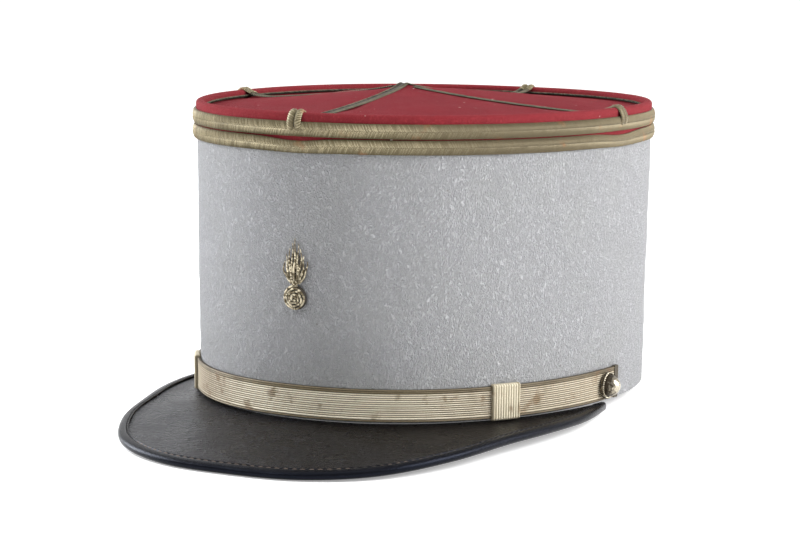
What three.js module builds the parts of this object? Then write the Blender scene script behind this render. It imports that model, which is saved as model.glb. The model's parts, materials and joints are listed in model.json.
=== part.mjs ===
// A tall oval kepi: a stiff felt crown with a red top, two braids round its head, a cross of
// soutache, a dress chin strap between two buttons, an embroidered flame badge and a bound peak.
//
// Millimetres, +Z up. The front of the cap faces -Y and +X is the wearer's left.
// Each piece is drawn on the upright cap, whose bottom edge is the plane z = 0 round the origin.
// The whole cap is then leant back on the hind edge of its crown until its peak touches the same
// surface, as it stands by itself, with the middle of its footprint at the origin.
// A "turn" is an angle round the oval, 0 at the front and 90 degrees at the wearer's left.
// "out" is a distance outwards from the crown's outer face, and "level" a height on its wall.

import * as THREE from "three";

// Form of the crown.
const HALF_LENGTH = 108.8;
const HALF_WIDTH = 82;
const SQUARENESS = 2.155; // exponent of the oval, where 2 is an ellipse
const BACK_FULLNESS = 0.062; // the hind half is this much wider than the middle
const FLARE_LENGTH = 0.01; // the oval is this much longer at the head of the wall than at its foot
const FLARE_WIDTH = 0.019;
const WALL_LEAN = 2.5; // degrees that the wall stands forward of square to its foot
const HEAD_RISE = 0.01443; // slope of the head of the wall, which is higher at the back
const BRAID_TOP = 111.1; // level of the upper braid's upper edge
const FELT_WALL = 2.5;
const CROWN_TOP = 100.7;

// Red head of the cap.
const GAP = 0.3;
const RIM_WALL = 3;
const RIM_CREST = BRAID_TOP + 3.4;
const DISC_RECESS = 3.5; // depth of the disc's edge below the rim's crest
const DISC_WALL = 2;
const DISC_PEAK = { x: -5, y: -9, rise: 5.9 }; // highest point of the disc, above the rim's crest
const DISC_SAG = 0.72; // exponent of the tent shape between the peak and the edge
const CORD_RADIUS = 0.6;

// Braids and soutache.
const BRAID_WIDTH = 5.45;
const BRAID_SPACE = 0.4;
const BRAID_BODY = 0.9; // thickness in the groove between a braid's two ridges
const BRAID_RIDGE = 1.4;
const PINCH = { drop: 1.2, turn: 7 }; // the lower braid dips where a soutache passes under it
const SOUTACHE_WIDTH = 5.8;
const SOUTACHE_BODY = 0.8;
const SOUTACHE_RIDGE = 1.3;

// Dress chin strap.
const STRAP = { out: GAP, thick: 1.3, low: 0.8, high: 13, reach: 91 };
const KEEPER = { turn: 53.5, halfTurn: 3.65, wall: 0.8, lip: 0.4, low: 0.1, high: 13.7 };
const BUTTON = { turn: 86, level: 6.7, radius: 5.3, height: 4.4 };

// Badge on the front.
const BADGE = { out: 0.4, depth: 1.5, waist: 50.9 };
const BADGE_BALL_RADIUS = 4.1;
const FLAME_HALF_WAIST = 1.7;
const FLAME_TONGUES = [
  { lean: -30, length: 9.5 },
  { lean: -16, length: 13.2 },
  { lean: 0, length: 16.4 },
  { lean: 16, length: 13.2 },
  { lean: 30, length: 9.5 },
];
const FLAME_NOTCH = 0.74; // where a notch ends, as a share of the shorter tongue beside them

// Peak. Its reach is the distance from the crown's foot to the outer edge, along the slope.
const PEAK_ENDS = 87;
const PEAK_REACHES = [
  { turn: 0, reach: 55.5 },
  { turn: 12.4, reach: 55.5 },
  { turn: 24.9, reach: 50.6 },
  { turn: 37.3, reach: 38.2 },
  { turn: 49.7, reach: 24.4 },
  { turn: 62.1, reach: 16.4 },
  { turn: 74.6, reach: 10.1 },
  { turn: 87, reach: 1.5 },
];
const PEAK_FAN = 0.81; // a reach points this share of its turn away from straight ahead
const PEAK_SLOPE = { front: 9.45, sides: 3.15 };
const PEAK_WALL = 1.8;
const PEAK_TUCK = 2.2; // the leather runs this far in under the felt
const PEAK_SINK = { front: 0.35, ends: 1.3 }; // its top lies this far below the crown's edge
const BINDING = { width: 5, wall: 0.5, nose: 1.6, round: 1.2 };

// Steps of the faceted surfaces.
const OVAL_STEPS = 64;
const PEAK_STEPS = 48;

const deg = THREE.MathUtils.degToRad;

const finish = (color, roughness, metalness) =>
  new THREE.MeshStandardMaterial({ color, roughness, metalness });
const blueFelt = finish(0xb4bdc4, 0.95, 0);
const redFelt = finish(0xb0182c, 0.95, 0);
const goldBraid = finish(0xa7965a, 0.5, 0.6);
const darkSoutache = finish(0x5b4f42, 0.6, 0.4);
const strapGold = finish(0xc9bf9b, 0.45, 0.6);
const gilt = finish(0xb9a77a, 0.3, 1);
const bullion = finish(0xae9a68, 0.4, 0.8);
const peakLeather = finish(0x2e2622, 0.5, 0);
const patentBinding = finish(0x0d0c0d, 0.15, 0);

// Point of the flat oval at a turn in radians.
function ovalPoint(turn, halfLength, halfWidth) {
  const round = (v) => Math.sign(v) * Math.abs(v) ** (2 / SQUARENESS);
  const y = -halfLength * round(Math.cos(turn));
  const x = halfWidth * round(Math.sin(turn)) * (1 + (BACK_FULLNESS * y) / halfLength);
  return new THREE.Vector2(x, y);
}

// How far the wall has come forward at a level.
const leanForward = (level) => level * Math.tan(deg(WALL_LEAN));

// Point on or beside the crown's wall, with the horizontal direction away from the wall there.
function wallPlace(turn, level, out) {
  const up = level / BRAID_TOP;
  const halfLength = HALF_LENGTH * (1 + FLARE_LENGTH * up);
  const halfWidth = HALF_WIDTH * (1 + FLARE_WIDTH * up);
  const step = 0.001;
  const ahead = ovalPoint(turn + step, halfLength, halfWidth);
  const behind = ovalPoint(turn - step, halfLength, halfWidth);
  const along = ahead.sub(behind).normalize();
  const facing = new THREE.Vector3(along.y, -along.x, 0);
  const plan = ovalPoint(turn, halfLength, halfWidth);
  const height = level + HEAD_RISE * up * plan.y;
  const point = new THREE.Vector3(plan.x, plan.y - leanForward(level), height);
  return { point: point.addScaledVector(facing, out), facing };
}

const wallPoint = (turn, level, out) => wallPlace(turn, level, out).point;

// Closed skin through a row of sections with equally many points. A section runs counter-clockwise
// with "out" to the right and "level" up. A loop's last section joins its first, and any other row
// is closed by flat ends shaped like the outline that is given.
function skin(sections, endOutline) {
  const size = sections[0].length;
  const positions = sections.flat().flatMap((p) => [p.x, p.y, p.z]);
  const faces = [];
  const bands = endOutline ? sections.length - 1 : sections.length;
  for (let i = 0; i < bands; i += 1) {
    const here = i * size;
    const next = ((i + 1) % sections.length) * size;
    for (let j = 0; j < size; j += 1) {
      const k = (j + 1) % size;
      faces.push(here + j, next + j, next + k);
      faces.push(here + j, next + k, here + k);
    }
  }
  if (endOutline) {
    const last = (sections.length - 1) * size;
    for (const [a, b, c] of THREE.ShapeUtils.triangulateShape(endOutline, [])) {
      faces.push(a, b, c);
      faces.push(last + c, last + b, last + a);
    }
  }
  const geometry = new THREE.BufferGeometry();
  geometry.setAttribute("position", new THREE.Float32BufferAttribute(positions, 3));
  geometry.setIndex(faces);
  geometry.computeVertexNormals();
  return geometry;
}

const outline = (pairs) => pairs.map(([out, level]) => new THREE.Vector2(out, level));

// Ring all round the cap, whose section may change with the turn.
function ringAround(sectionAt) {
  const sections = [];
  for (let i = 0; i < OVAL_STEPS; i += 1) {
    const turn = (i / OVAL_STEPS) * 2 * Math.PI;
    sections.push(outline(sectionAt(turn)).map((p) => wallPoint(turn, p.y, p.x)));
  }
  return skin(sections, null);
}

// Band along part of the wall, between two turns in degrees.
function bandAlong(from, to, steps, pairs) {
  const sections = [];
  for (let i = 0; i <= steps; i += 1) {
    const turn = deg(from + ((to - from) * i) / steps);
    sections.push(outline(pairs).map((p) => wallPoint(turn, p.y, p.x)));
  }
  return skin(sections, outline(pairs));
}

// ---- Crown and red head -------------------------------------------------------------------

function crownWall() {
  return ringAround(() => [[-FELT_WALL, 0], [0, 0], [0, CROWN_TOP], [-FELT_WALL, CROWN_TOP]]);
}

// Band of red felt behind the braids, whose head is rounded over.
function topRim() {
  const radius = RIM_WALL / 2;
  const foot = CROWN_TOP + GAP;
  const pairs = [[-RIM_WALL, foot], [0, foot]];
  const steps = 5;
  for (let i = 0; i <= steps; i += 1) {
    const angle = (i / steps) * Math.PI;
    const out = -radius + radius * Math.cos(angle);
    pairs.push([out, RIM_CREST - radius + radius * Math.sin(angle)]);
  }
  return ringAround(() => pairs);
}

const DISC_RINGS = [0.08, 0.28, 0.6, 1];
const discFoot = RIM_CREST - DISC_RECESS;
const discPeak = new THREE.Vector3(
  DISC_PEAK.x,
  DISC_PEAK.y - leanForward(RIM_CREST),
  RIM_CREST + DISC_PEAK.rise + HEAD_RISE * DISC_PEAK.y,
);

// Point of the disc's upper face, at a share of the way from its peak to its edge.
function discPoint(turn, share) {
  const edge = wallPoint(turn, discFoot, -RIM_WALL - GAP);
  const point = discPeak.clone().lerp(edge, share);
  point.z = THREE.MathUtils.lerp(discPeak.z, edge.z, share ** DISC_SAG);
  return point;
}

// The same point on the faceted face, which is flat between its rings.
function facetedDiscPoint(turn, share) {
  const outer = DISC_RINGS.find((ring) => ring >= share) ?? 1;
  const inner = DISC_RINGS[DISC_RINGS.indexOf(outer) - 1] ?? 0;
  const within = (share - inner) / (outer - inner);
  return discPoint(turn, inner).lerp(discPoint(turn, outer), within);
}

function topDisc() {
  const sections = [];
  const lower = (p) => p.clone().setZ(p.z - DISC_WALL);
  for (let i = 0; i < OVAL_STEPS; i += 1) {
    const turn = (i / OVAL_STEPS) * 2 * Math.PI;
    const face = DISC_RINGS.map((share) => discPoint(turn, share));
    sections.push([...face.map(lower), ...face.reverse()]);
  }
  const size = sections[0].length;
  const geometry = skin(sections, null);
  // The innermost ring closes on the peak, above and below, in place of a hole's wall.
  const faces = [];
  const old = geometry.getIndex().array;
  for (let i = 0; i < old.length; i += 3) {
    const spots = [old[i] % size, old[i + 1] % size, old[i + 2] % size];
    const onHole = spots.every((spot) => spot === 0 || spot === size - 1);
    if (!onHole) {
      faces.push(old[i], old[i + 1], old[i + 2]);
    }
  }
  const positions = [...geometry.getAttribute("position").array];
  const top = positions.length / 3;
  positions.push(discPeak.x, discPeak.y, discPeak.z);
  positions.push(discPeak.x, discPeak.y, discPeak.z - DISC_WALL);
  for (let i = 0; i < OVAL_STEPS; i += 1) {
    const here = i * size;
    const next = ((i + 1) % OVAL_STEPS) * size;
    faces.push(here + size - 1, next + size - 1, top);
    faces.push(next, here, top + 1);
  }
  const closed = new THREE.BufferGeometry();
  closed.setAttribute("position", new THREE.Float32BufferAttribute(positions, 3));
  closed.setIndex(faces);
  closed.computeVertexNormals();
  return closed;
}

// Thin cord laid in the corner between the disc and the rim.
function discCord() {
  const out = -RIM_WALL - GAP - CORD_RADIUS;
  const level = discFoot + GAP + CORD_RADIUS;
  const pairs = [];
  const sides = 6;
  for (let i = 0; i < sides; i += 1) {
    const angle = (i / sides) * 2 * Math.PI;
    pairs.push([out + CORD_RADIUS * Math.cos(angle), level + CORD_RADIUS * Math.sin(angle)]);
  }
  return ringAround(() => pairs);
}

// ---- Braids and soutache ------------------------------------------------------------------

// How strongly the braids are pushed apart at a turn, from 0 to 1, over the four soutaches.
function pinchAt(turn) {
  const quarter = Math.PI / 2;
  const away = Math.abs(turn - Math.round(turn / quarter) * quarter);
  return Math.exp(-((away / deg(PINCH.turn)) ** 2));
}

// Braid with two ridges, between two levels that may change with the turn.
function braid(highAt, lowAt) {
  return ringAround((turn) => {
    const low = lowAt(turn);
    const high = highAt(turn);
    const at = (share) => THREE.MathUtils.lerp(low, high, share);
    return [
      [GAP, low],
      [GAP + BRAID_BODY, low],
      [GAP + BRAID_RIDGE, at(0.25)],
      [GAP + BRAID_BODY, at(0.5)],
      [GAP + BRAID_RIDGE, at(0.75)],
      [GAP + BRAID_BODY, high],
      [GAP, high],
      [GAP, at(0.5)],
    ];
  });
}

const lowerBraidTop = BRAID_TOP - BRAID_WIDTH - BRAID_SPACE;
const upperBraid = () => braid(() => BRAID_TOP, () => BRAID_TOP - BRAID_WIDTH);
const lowerBraid = () =>
  braid(
    (turn) => lowerBraidTop - PINCH.drop * pinchAt(turn),
    (turn) => lowerBraidTop - BRAID_WIDTH - 0.3 * PINCH.drop * pinchAt(turn),
  );

// Route of a soutache's underside from the upper braid over the rim and up the disc, at a turn in
// degrees, as points with the direction that its upper face looks in.
function soutacheRoute(turnDegrees, lastShare) {
  const turn = deg(turnDegrees);
  const route = [];
  const add = (point, up) => route.push({ point, up: up.clone().normalize() });
  const { facing } = wallPlace(turn, RIM_CREST, 0);
  const vertical = new THREE.Vector3(0, 0, 1);
  const overBraid = 2 * GAP + BRAID_RIDGE;
  add(wallPoint(turn, BRAID_TOP - BRAID_WIDTH / 2, overBraid), facing);
  add(wallPoint(turn, BRAID_TOP - 0.2, overBraid), facing);
  add(wallPoint(turn, BRAID_TOP + 1.5, 0.9), facing);
  const radius = RIM_WALL / 2 + GAP;
  const steps = 4;
  for (let i = 1; i <= steps; i += 1) {
    const angle = (i / (steps + 1)) * Math.PI;
    const up = facing.clone().multiplyScalar(Math.cos(angle));
    up.addScaledVector(vertical, Math.sin(angle));
    const centre = wallPoint(turn, RIM_CREST - RIM_WALL / 2, -RIM_WALL / 2);
    add(centre.addScaledVector(up, radius), up);
  }
  const overCord = discFoot + 2 * GAP + 2 * CORD_RADIUS;
  const inwards = facing.clone().negate();
  add(wallPoint(turn, overCord + 0.9, -RIM_WALL - GAP - 0.2), inwards.add(vertical));
  const landing = 0.93;
  const rows = 9;
  for (let i = 0; i <= rows; i += 1) {
    const share = THREE.MathUtils.lerp(landing, lastShare, i / rows);
    const point = facetedDiscPoint(turn, share);
    add(point.addScaledVector(vertical, i === 0 ? GAP + 0.9 : GAP + 0.15), vertical);
  }
  return route;
}

// Flat braid of two ridges along a route.
function soutache(route) {
  const half = SOUTACHE_WIDTH / 2;
  const pairs = [
    [-half, 0],
    [half, 0],
    [half, SOUTACHE_BODY],
    [half / 2, SOUTACHE_RIDGE],
    [0, SOUTACHE_BODY],
    [-half / 2, SOUTACHE_RIDGE],
    [-half, SOUTACHE_BODY],
  ];
  const sections = route.map(({ point, up }, i) => {
    const before = route[Math.max(i - 1, 0)].point;
    const after = route[Math.min(i + 1, route.length - 1)].point;
    const along = after.clone().sub(before).normalize();
    const across = along.clone().cross(up).normalize();
    const square = across.clone().cross(along);
    return pairs.map(([side, lift]) =>
      point.clone().addScaledVector(across, side).addScaledVector(square, lift),
    );
  });
  return skin(sections, outline(pairs));
}

// The long soutache runs from the front over the disc's peak to the back.
function longSoutache() {
  const front = soutacheRoute(0, 0);
  const back = soutacheRoute(180, 0).reverse().slice(1);
  return soutache([...front, ...back]);
}

// A side soutache ends beside the long one.
const sideSoutache = (turnDegrees) => soutache(soutacheRoute(turnDegrees, 0.055));

// ---- Dress chin strap ---------------------------------------------------------------------

function chinStrap() {
  const face = STRAP.out + STRAP.thick;
  const pairs = [[STRAP.out, STRAP.low], [face, STRAP.low], [face, STRAP.high], [STRAP.out, STRAP.high]];
  return bandAlong(-STRAP.reach, STRAP.reach, 44, pairs);
}

// Slide that wraps the strap above, below and in front.
function keeper(side) {
  const slot = STRAP.out + STRAP.thick + GAP;
  const face = slot + KEEPER.wall;
  const centre = side * KEEPER.turn;
  return bandAlong(centre - KEEPER.halfTurn, centre + KEEPER.halfTurn, 3, [
    [GAP, KEEPER.low],
    [face, KEEPER.low],
    [face, KEEPER.high],
    [GAP, KEEPER.high],
    [GAP, KEEPER.high - KEEPER.lip],
    [slot, KEEPER.high - KEEPER.lip],
    [slot, KEEPER.low + KEEPER.lip],
    [GAP, KEEPER.low + KEEPER.lip],
  ]);
}

// Domed button with a flat ring round its foot.
function buttonForm() {
  const dome = BUTTON.radius * 0.86;
  const ringHeight = 0.9;
  const profile = [[0, 0], [BUTTON.radius, 0], [BUTTON.radius, ringHeight], [dome, ringHeight]];
  const steps = 5;
  for (let i = 1; i <= steps; i += 1) {
    const angle = (i / steps) * (Math.PI / 2);
    const radius = i === steps ? 0 : dome * Math.cos(angle);
    profile.push([radius, ringHeight + (BUTTON.height - ringHeight) * Math.sin(angle)]);
  }
  return new THREE.LatheGeometry(outline(profile), 20);
}

// ---- Badge --------------------------------------------------------------------------------

// Outline of the flame above its waist, with a notch between neighbouring tongues.
function flameForm() {
  const ray = (lean, length) => [length * Math.sin(deg(lean)), length * Math.cos(deg(lean))];
  const shape = new THREE.Shape();
  shape.moveTo(FLAME_HALF_WAIST, 0);
  const tongues = [...FLAME_TONGUES].reverse();
  tongues.forEach((tongue, i) => {
    const tip = ray(tongue.lean, tongue.length);
    shape.lineTo(tip[0], tip[1]);
    const next = tongues[i + 1];
    if (next) {
      const depth = FLAME_NOTCH * Math.min(tongue.length, next.length);
      const notch = ray((tongue.lean + next.lean) / 2, depth);
      shape.lineTo(notch[0], notch[1]);
    }
  });
  shape.lineTo(-FLAME_HALF_WAIST, 0);
  return new THREE.ExtrudeGeometry(shape, { depth: BADGE.depth, bevelEnabled: false });
}

// Ball below the flame: a low dome with one ring sunk in it.
function ballForm() {
  const r = BADGE_BALL_RADIUS;
  const profile = [[0, 0], [r, 0], [r, 0.7], [0.85 * r, 1.3], [0.7 * r, 1.1], [0.55 * r, 1.6], [0, 2]];
  return new THREE.LatheGeometry(outline(profile), 20);
}

// ---- Peak ---------------------------------------------------------------------------------

// Reach of the peak at a turn in radians: a smooth curve through the table, alike on both sides.
function peakReach(turn) {
  const rows = PEAK_REACHES.map((row) => row.reach);
  const last = rows.length - 1;
  const place = Math.min(Math.abs(turn) / deg(PEAK_ENDS), 1) * last;
  const i = Math.min(Math.floor(place), last - 1);
  const t = place - i;
  const before = rows[i - 1] ?? rows[1];
  const after = rows[i + 2] ?? 2 * rows[last] - rows[last - 1];
  const [a, b] = [rows[i], rows[i + 1]];
  const slopeIn = (b - before) / 2;
  const slopeOut = (after - a) / 2;
  const cube = 2 * (a - b) + slopeIn + slopeOut;
  const square = 3 * (b - a) - 2 * slopeIn - slopeOut;
  return a + t * (slopeIn + t * (square + t * cube));
}

// What the peak's sections share at a turn: its foot, heading, slope, reach and sink.
function peakPlace(turn) {
  const heading = PEAK_FAN * turn;
  const sideways = Math.sin(turn) ** 2;
  return {
    foot: ovalPoint(turn, HALF_LENGTH, HALF_WIDTH),
    ahead: new THREE.Vector2(Math.sin(heading), -Math.cos(heading)),
    slope: deg(THREE.MathUtils.lerp(PEAK_SLOPE.front, PEAK_SLOPE.sides, sideways)),
    reach: peakReach(turn),
    sink: THREE.MathUtils.lerp(PEAK_SINK.front, PEAK_SINK.ends, (turn / deg(PEAK_ENDS)) ** 6),
  };
}

// Closed strip from one end of the peak to the other. A section's points are pairs of a distance
// from the crown's foot and a height above the crown's bottom edge.
function peakStrip(pairsAt) {
  const sections = [];
  for (let i = 0; i <= PEAK_STEPS; i += 1) {
    const turn = deg(PEAK_ENDS) * ((2 * i) / PEAK_STEPS - 1);
    const place = peakPlace(turn);
    const at = ([distance, height]) => {
      const plan = place.foot.clone().addScaledVector(place.ahead, distance);
      return new THREE.Vector3(plan.x, plan.y, height);
    };
    sections.push(pairsAt(place).map(at));
  }
  const ends = peakPlace(deg(PEAK_ENDS));
  return skin(sections, outline(pairsAt(ends)));
}

function peakLeaf() {
  return peakStrip(({ slope, reach, sink }) => {
    const end = (reach - BINDING.nose - GAP) * Math.cos(slope);
    const knee = Math.min(0, end - 0.3);
    const distances = [-PEAK_TUCK, knee, THREE.MathUtils.lerp(knee, end, 0.5), end];
    const height = (distance) => -sink - Math.max(0, distance) * Math.tan(slope);
    const lower = distances.map((d) => [d, height(d) - PEAK_WALL]);
    const upper = distances.map((d) => [d, height(d)]);
    return [...lower, ...upper.reverse()];
  });
}

// Binding folded round the leather's edge, with a rounded nose.
function peakBinding() {
  return peakStrip(({ slope, reach, sink }) => {
    const width = Math.min(BINDING.width, reach + 1);
    const slot = PEAK_WALL / 2 + GAP;
    const face = slot + BINDING.wall;
    const nose = [
      [-BINDING.round, -face],
      [-0.3 * BINDING.round, -0.7 * face],
      [0, -0.25 * face],
      [0, 0.25 * face],
      [-0.3 * BINDING.round, 0.7 * face],
      [-BINDING.round, face],
    ];
    const mouth = [
      [-width, face],
      [-width, slot],
      [-BINDING.nose, slot],
      [-BINDING.nose, -slot],
      [-width, -slot],
    ];
    const section = [[-width, -face], ...nose, ...mouth];
    return section.map(([along, lift]) => {
      const distance = (reach + along) * Math.cos(slope) + lift * Math.sin(slope);
      const height = lift * Math.cos(slope) - (reach + along) * Math.sin(slope);
      return [distance, height - sink - PEAK_WALL / 2];
    });
  });
}

// ---- The whole cap ------------------------------------------------------------------------

function piece(name, geometry, material) {
  const mesh = new THREE.Mesh(geometry, material);
  mesh.name = name;
  return mesh;
}

// Group whose +Y points square out of the wall and whose +Z runs down it.
function seatOnWall(turnDegrees, level, out) {
  const turn = deg(turnDegrees);
  const point = wallPoint(turn, level, 0);
  const down = wallPoint(turn, level - 1, 0).sub(point).normalize();
  const sideways = wallPoint(turn + 0.001, level, 0).sub(point).normalize();
  const square = down.clone().cross(sideways).normalize();
  const across = square.clone().cross(down);
  const seat = new THREE.Group();
  seat.matrixAutoUpdate = false;
  seat.matrix.makeBasis(across, square, down);
  seat.matrix.setPosition(point.addScaledVector(square, out));
  return seat;
}

const cap = new THREE.Group();
cap.add(piece("crown_felt", crownWall(), blueFelt));
cap.add(piece("top_rim", topRim(), redFelt));
cap.add(piece("top_disc", topDisc(), redFelt));
cap.add(piece("disc_cord", discCord(), darkSoutache));
cap.add(piece("upper_braid", upperBraid(), goldBraid));
cap.add(piece("lower_braid", lowerBraid(), goldBraid));
cap.add(piece("soutache_long", longSoutache(), darkSoutache));
cap.add(piece("soutache_left", sideSoutache(90), darkSoutache));
cap.add(piece("soutache_right", sideSoutache(-90), darkSoutache));
cap.add(piece("chin_strap", chinStrap(), strapGold));
cap.add(piece("peak", peakLeaf(), peakLeather));
const binding = piece("peak_binding", peakBinding(), patentBinding);
cap.add(binding);

for (const [side, word] of [[1, "left"], [-1, "right"]]) {
  cap.add(piece(`keeper_${word}`, keeper(side), strapGold));
  const seat = seatOnWall(side * BUTTON.turn, BUTTON.level, STRAP.out + STRAP.thick + GAP);
  seat.add(piece(`button_${word}`, buttonForm(), gilt));
  cap.add(seat);
}

const ballSeat = seatOnWall(0, BADGE.waist - GAP - BADGE_BALL_RADIUS, BADGE.out);
ballSeat.add(piece("badge_ball", ballForm(), bullion));
cap.add(ballSeat);

const flameSeat = seatOnWall(0, BADGE.waist, BADGE.out);
const flame = piece("badge_flame", flameForm(), bullion);
flame.rotation.x = -Math.PI / 2;
flameSeat.add(flame);
cap.add(flameSeat);

// The cap leans back until the lowest line through its hind edge touches the binding.
const hindEdge = wallPoint(Math.PI, 0, 0);
const bindingPoints = binding.geometry.getAttribute("position");
let lean = 0;
for (let i = 0; i < bindingPoints.count; i += 1) {
  const drop = -bindingPoints.getZ(i);
  lean = Math.max(lean, Math.atan2(drop, hindEdge.y - bindingPoints.getY(i)));
}
cap.rotation.x = -lean;
cap.updateMatrixWorld(true);
const footprint = new THREE.Box3().setFromObject(cap, true);
const middle = footprint.getCenter(new THREE.Vector3());
cap.position.set(-middle.x, -middle.y, -footprint.min.z);

const group = new THREE.Group();
group.add(cap);
export default group;
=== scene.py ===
"""A tall oval kepi in felt, braid, bullion and leather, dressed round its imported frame."""

import json
import logging
import math
from dataclasses import dataclass, field, replace
from enum import Enum
from typing import Any, Iterable, Mapping, Sequence

import bpy
import numpy as np
from mathutils import Matrix, Vector, noise

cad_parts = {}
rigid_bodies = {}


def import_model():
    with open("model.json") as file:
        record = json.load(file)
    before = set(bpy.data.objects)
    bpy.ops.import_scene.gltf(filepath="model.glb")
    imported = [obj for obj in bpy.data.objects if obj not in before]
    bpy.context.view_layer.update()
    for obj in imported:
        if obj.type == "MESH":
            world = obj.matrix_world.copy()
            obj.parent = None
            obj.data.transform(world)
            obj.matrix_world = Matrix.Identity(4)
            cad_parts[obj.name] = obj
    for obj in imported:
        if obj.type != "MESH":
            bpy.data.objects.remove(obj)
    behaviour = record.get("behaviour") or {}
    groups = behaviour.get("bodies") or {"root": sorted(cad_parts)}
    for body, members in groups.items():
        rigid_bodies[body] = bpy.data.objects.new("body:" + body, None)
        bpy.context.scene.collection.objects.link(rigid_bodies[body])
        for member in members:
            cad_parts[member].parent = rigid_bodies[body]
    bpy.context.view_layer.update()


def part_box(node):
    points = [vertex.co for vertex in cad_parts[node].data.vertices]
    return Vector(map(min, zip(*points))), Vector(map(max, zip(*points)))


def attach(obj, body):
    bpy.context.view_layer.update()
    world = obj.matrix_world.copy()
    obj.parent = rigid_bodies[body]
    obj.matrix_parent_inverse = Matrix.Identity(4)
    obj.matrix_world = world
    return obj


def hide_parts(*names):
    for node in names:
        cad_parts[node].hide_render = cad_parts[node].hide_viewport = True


LOG = logging.getLogger("kepi")
MM = 0.001
Array = np.ndarray


class Slot(Enum):
    """Material slots of the part's record."""

    FELT_BLUE = "felt_blue"
    FELT_RED = "felt_red"
    GOLD_BRAID = "gold_braid"
    SOUTACHE_DARK = "soutache_dark"
    STRAP_GOLD = "strap_gold"
    BUTTON_GILT = "button_gilt"
    BADGE_BULLION = "badge_bullion"
    PEAK_LEATHER = "peak_leather"
    PEAK_PATENT = "peak_patent"


class Side(Enum):
    """The wearer's two sides, with the sign of X on each."""

    LEFT = 1
    RIGHT = -1

    @property
    def word(self) -> str:
        """Name of the side in the names of pieces."""
        return self.name.lower()


# ---- Node trees ------------------------------------------------------------------------------


class Graph:
    """A node tree under construction, for a material or for geometry."""

    def __init__(self, tree: bpy.types.NodeTree) -> None:
        """Keeps the tree that nodes are added to.

        Args:
            tree: An empty node tree.
        """
        self.tree = tree

    def add(
        self,
        kind: str,
        settings: Mapping[str, Any] | None = None,
        sockets: Mapping[str | int, Any] | None = None,
    ) -> bpy.types.Node:
        """Adds one node.

        Args:
            kind: The node's type.
            settings: Its properties, which are set first.
            sockets: Values, signals or sockets for its inputs, by name or number.

        Returns:
            The new node.
        """
        node = self.tree.nodes.new(kind)
        for name, value in (settings or {}).items():
            setattr(node, name, value)
        for key, value in (sockets or {}).items():
            target = node.inputs[key]
            if isinstance(value, Signal):
                self.tree.links.new(value.socket, target)
            elif isinstance(value, bpy.types.NodeSocket):
                self.tree.links.new(value, target)
            else:
                target.default_value = value
        return node

    def signal(self, node: bpy.types.Node, output: str | int = 0) -> "Signal":
        """Wraps an output of a node so that operators work on it."""
        return Signal(self, node.outputs[output])

    def math(self, operation: str, *values: Any) -> "Signal":
        """Adds a Math node and wraps its result."""
        sockets = dict(enumerate(values))
        return self.signal(self.add("ShaderNodeMath", {"operation": operation}, sockets))

    def vector(self, operation: str, *values: Any) -> "Signal":
        """Adds a Vector Math node and wraps its vector."""
        sockets = dict(enumerate(values))
        return self.signal(self.add("ShaderNodeVectorMath", {"operation": operation}, sockets))

    def scaled(self, vector: Any, factor: Any) -> "Signal":
        """Scales a vector by a number."""
        node = self.add(
            "ShaderNodeVectorMath", {"operation": "SCALE"}, {"Vector": vector, "Scale": factor}
        )
        return self.signal(node)


@dataclass(frozen=True)
class Signal:
    """A socket of a node tree that Python's operators work on."""

    graph: Graph
    socket: bpy.types.NodeSocket

    def __add__(self, other: Any) -> "Signal":
        """Sum of the two."""
        return self.graph.math("ADD", self, other)

    def __radd__(self, other: Any) -> "Signal":
        """Sum of the two."""
        return self.graph.math("ADD", other, self)

    def __sub__(self, other: Any) -> "Signal":
        """Difference of the two."""
        return self.graph.math("SUBTRACT", self, other)

    def __rsub__(self, other: Any) -> "Signal":
        """Difference of the two, with this one taken away."""
        return self.graph.math("SUBTRACT", other, self)

    def __mul__(self, other: Any) -> "Signal":
        """Product of the two."""
        return self.graph.math("MULTIPLY", self, other)

    def __rmul__(self, other: Any) -> "Signal":
        """Product of the two."""
        return self.graph.math("MULTIPLY", other, self)

    def __truediv__(self, other: Any) -> "Signal":
        """Quotient of the two."""
        return self.graph.math("DIVIDE", self, other)

    def between(self, low: float, high: float) -> "Signal":
        """Rises smoothly from 0 at one value to 1 at another.

        Args:
            low: Value that gives 0.
            high: Value that gives 1. It may be the smaller of the two.

        Returns:
            The smooth step.
        """
        node = self.graph.add(
            "ShaderNodeMapRange",
            {"interpolation_type": "SMOOTHSTEP"},
            {"Value": self, "From Min": low, "From Max": high},
        )
        return self.graph.signal(node)


# ---- Finishes --------------------------------------------------------------------------------

Colour = tuple[float, float, float]


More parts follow.
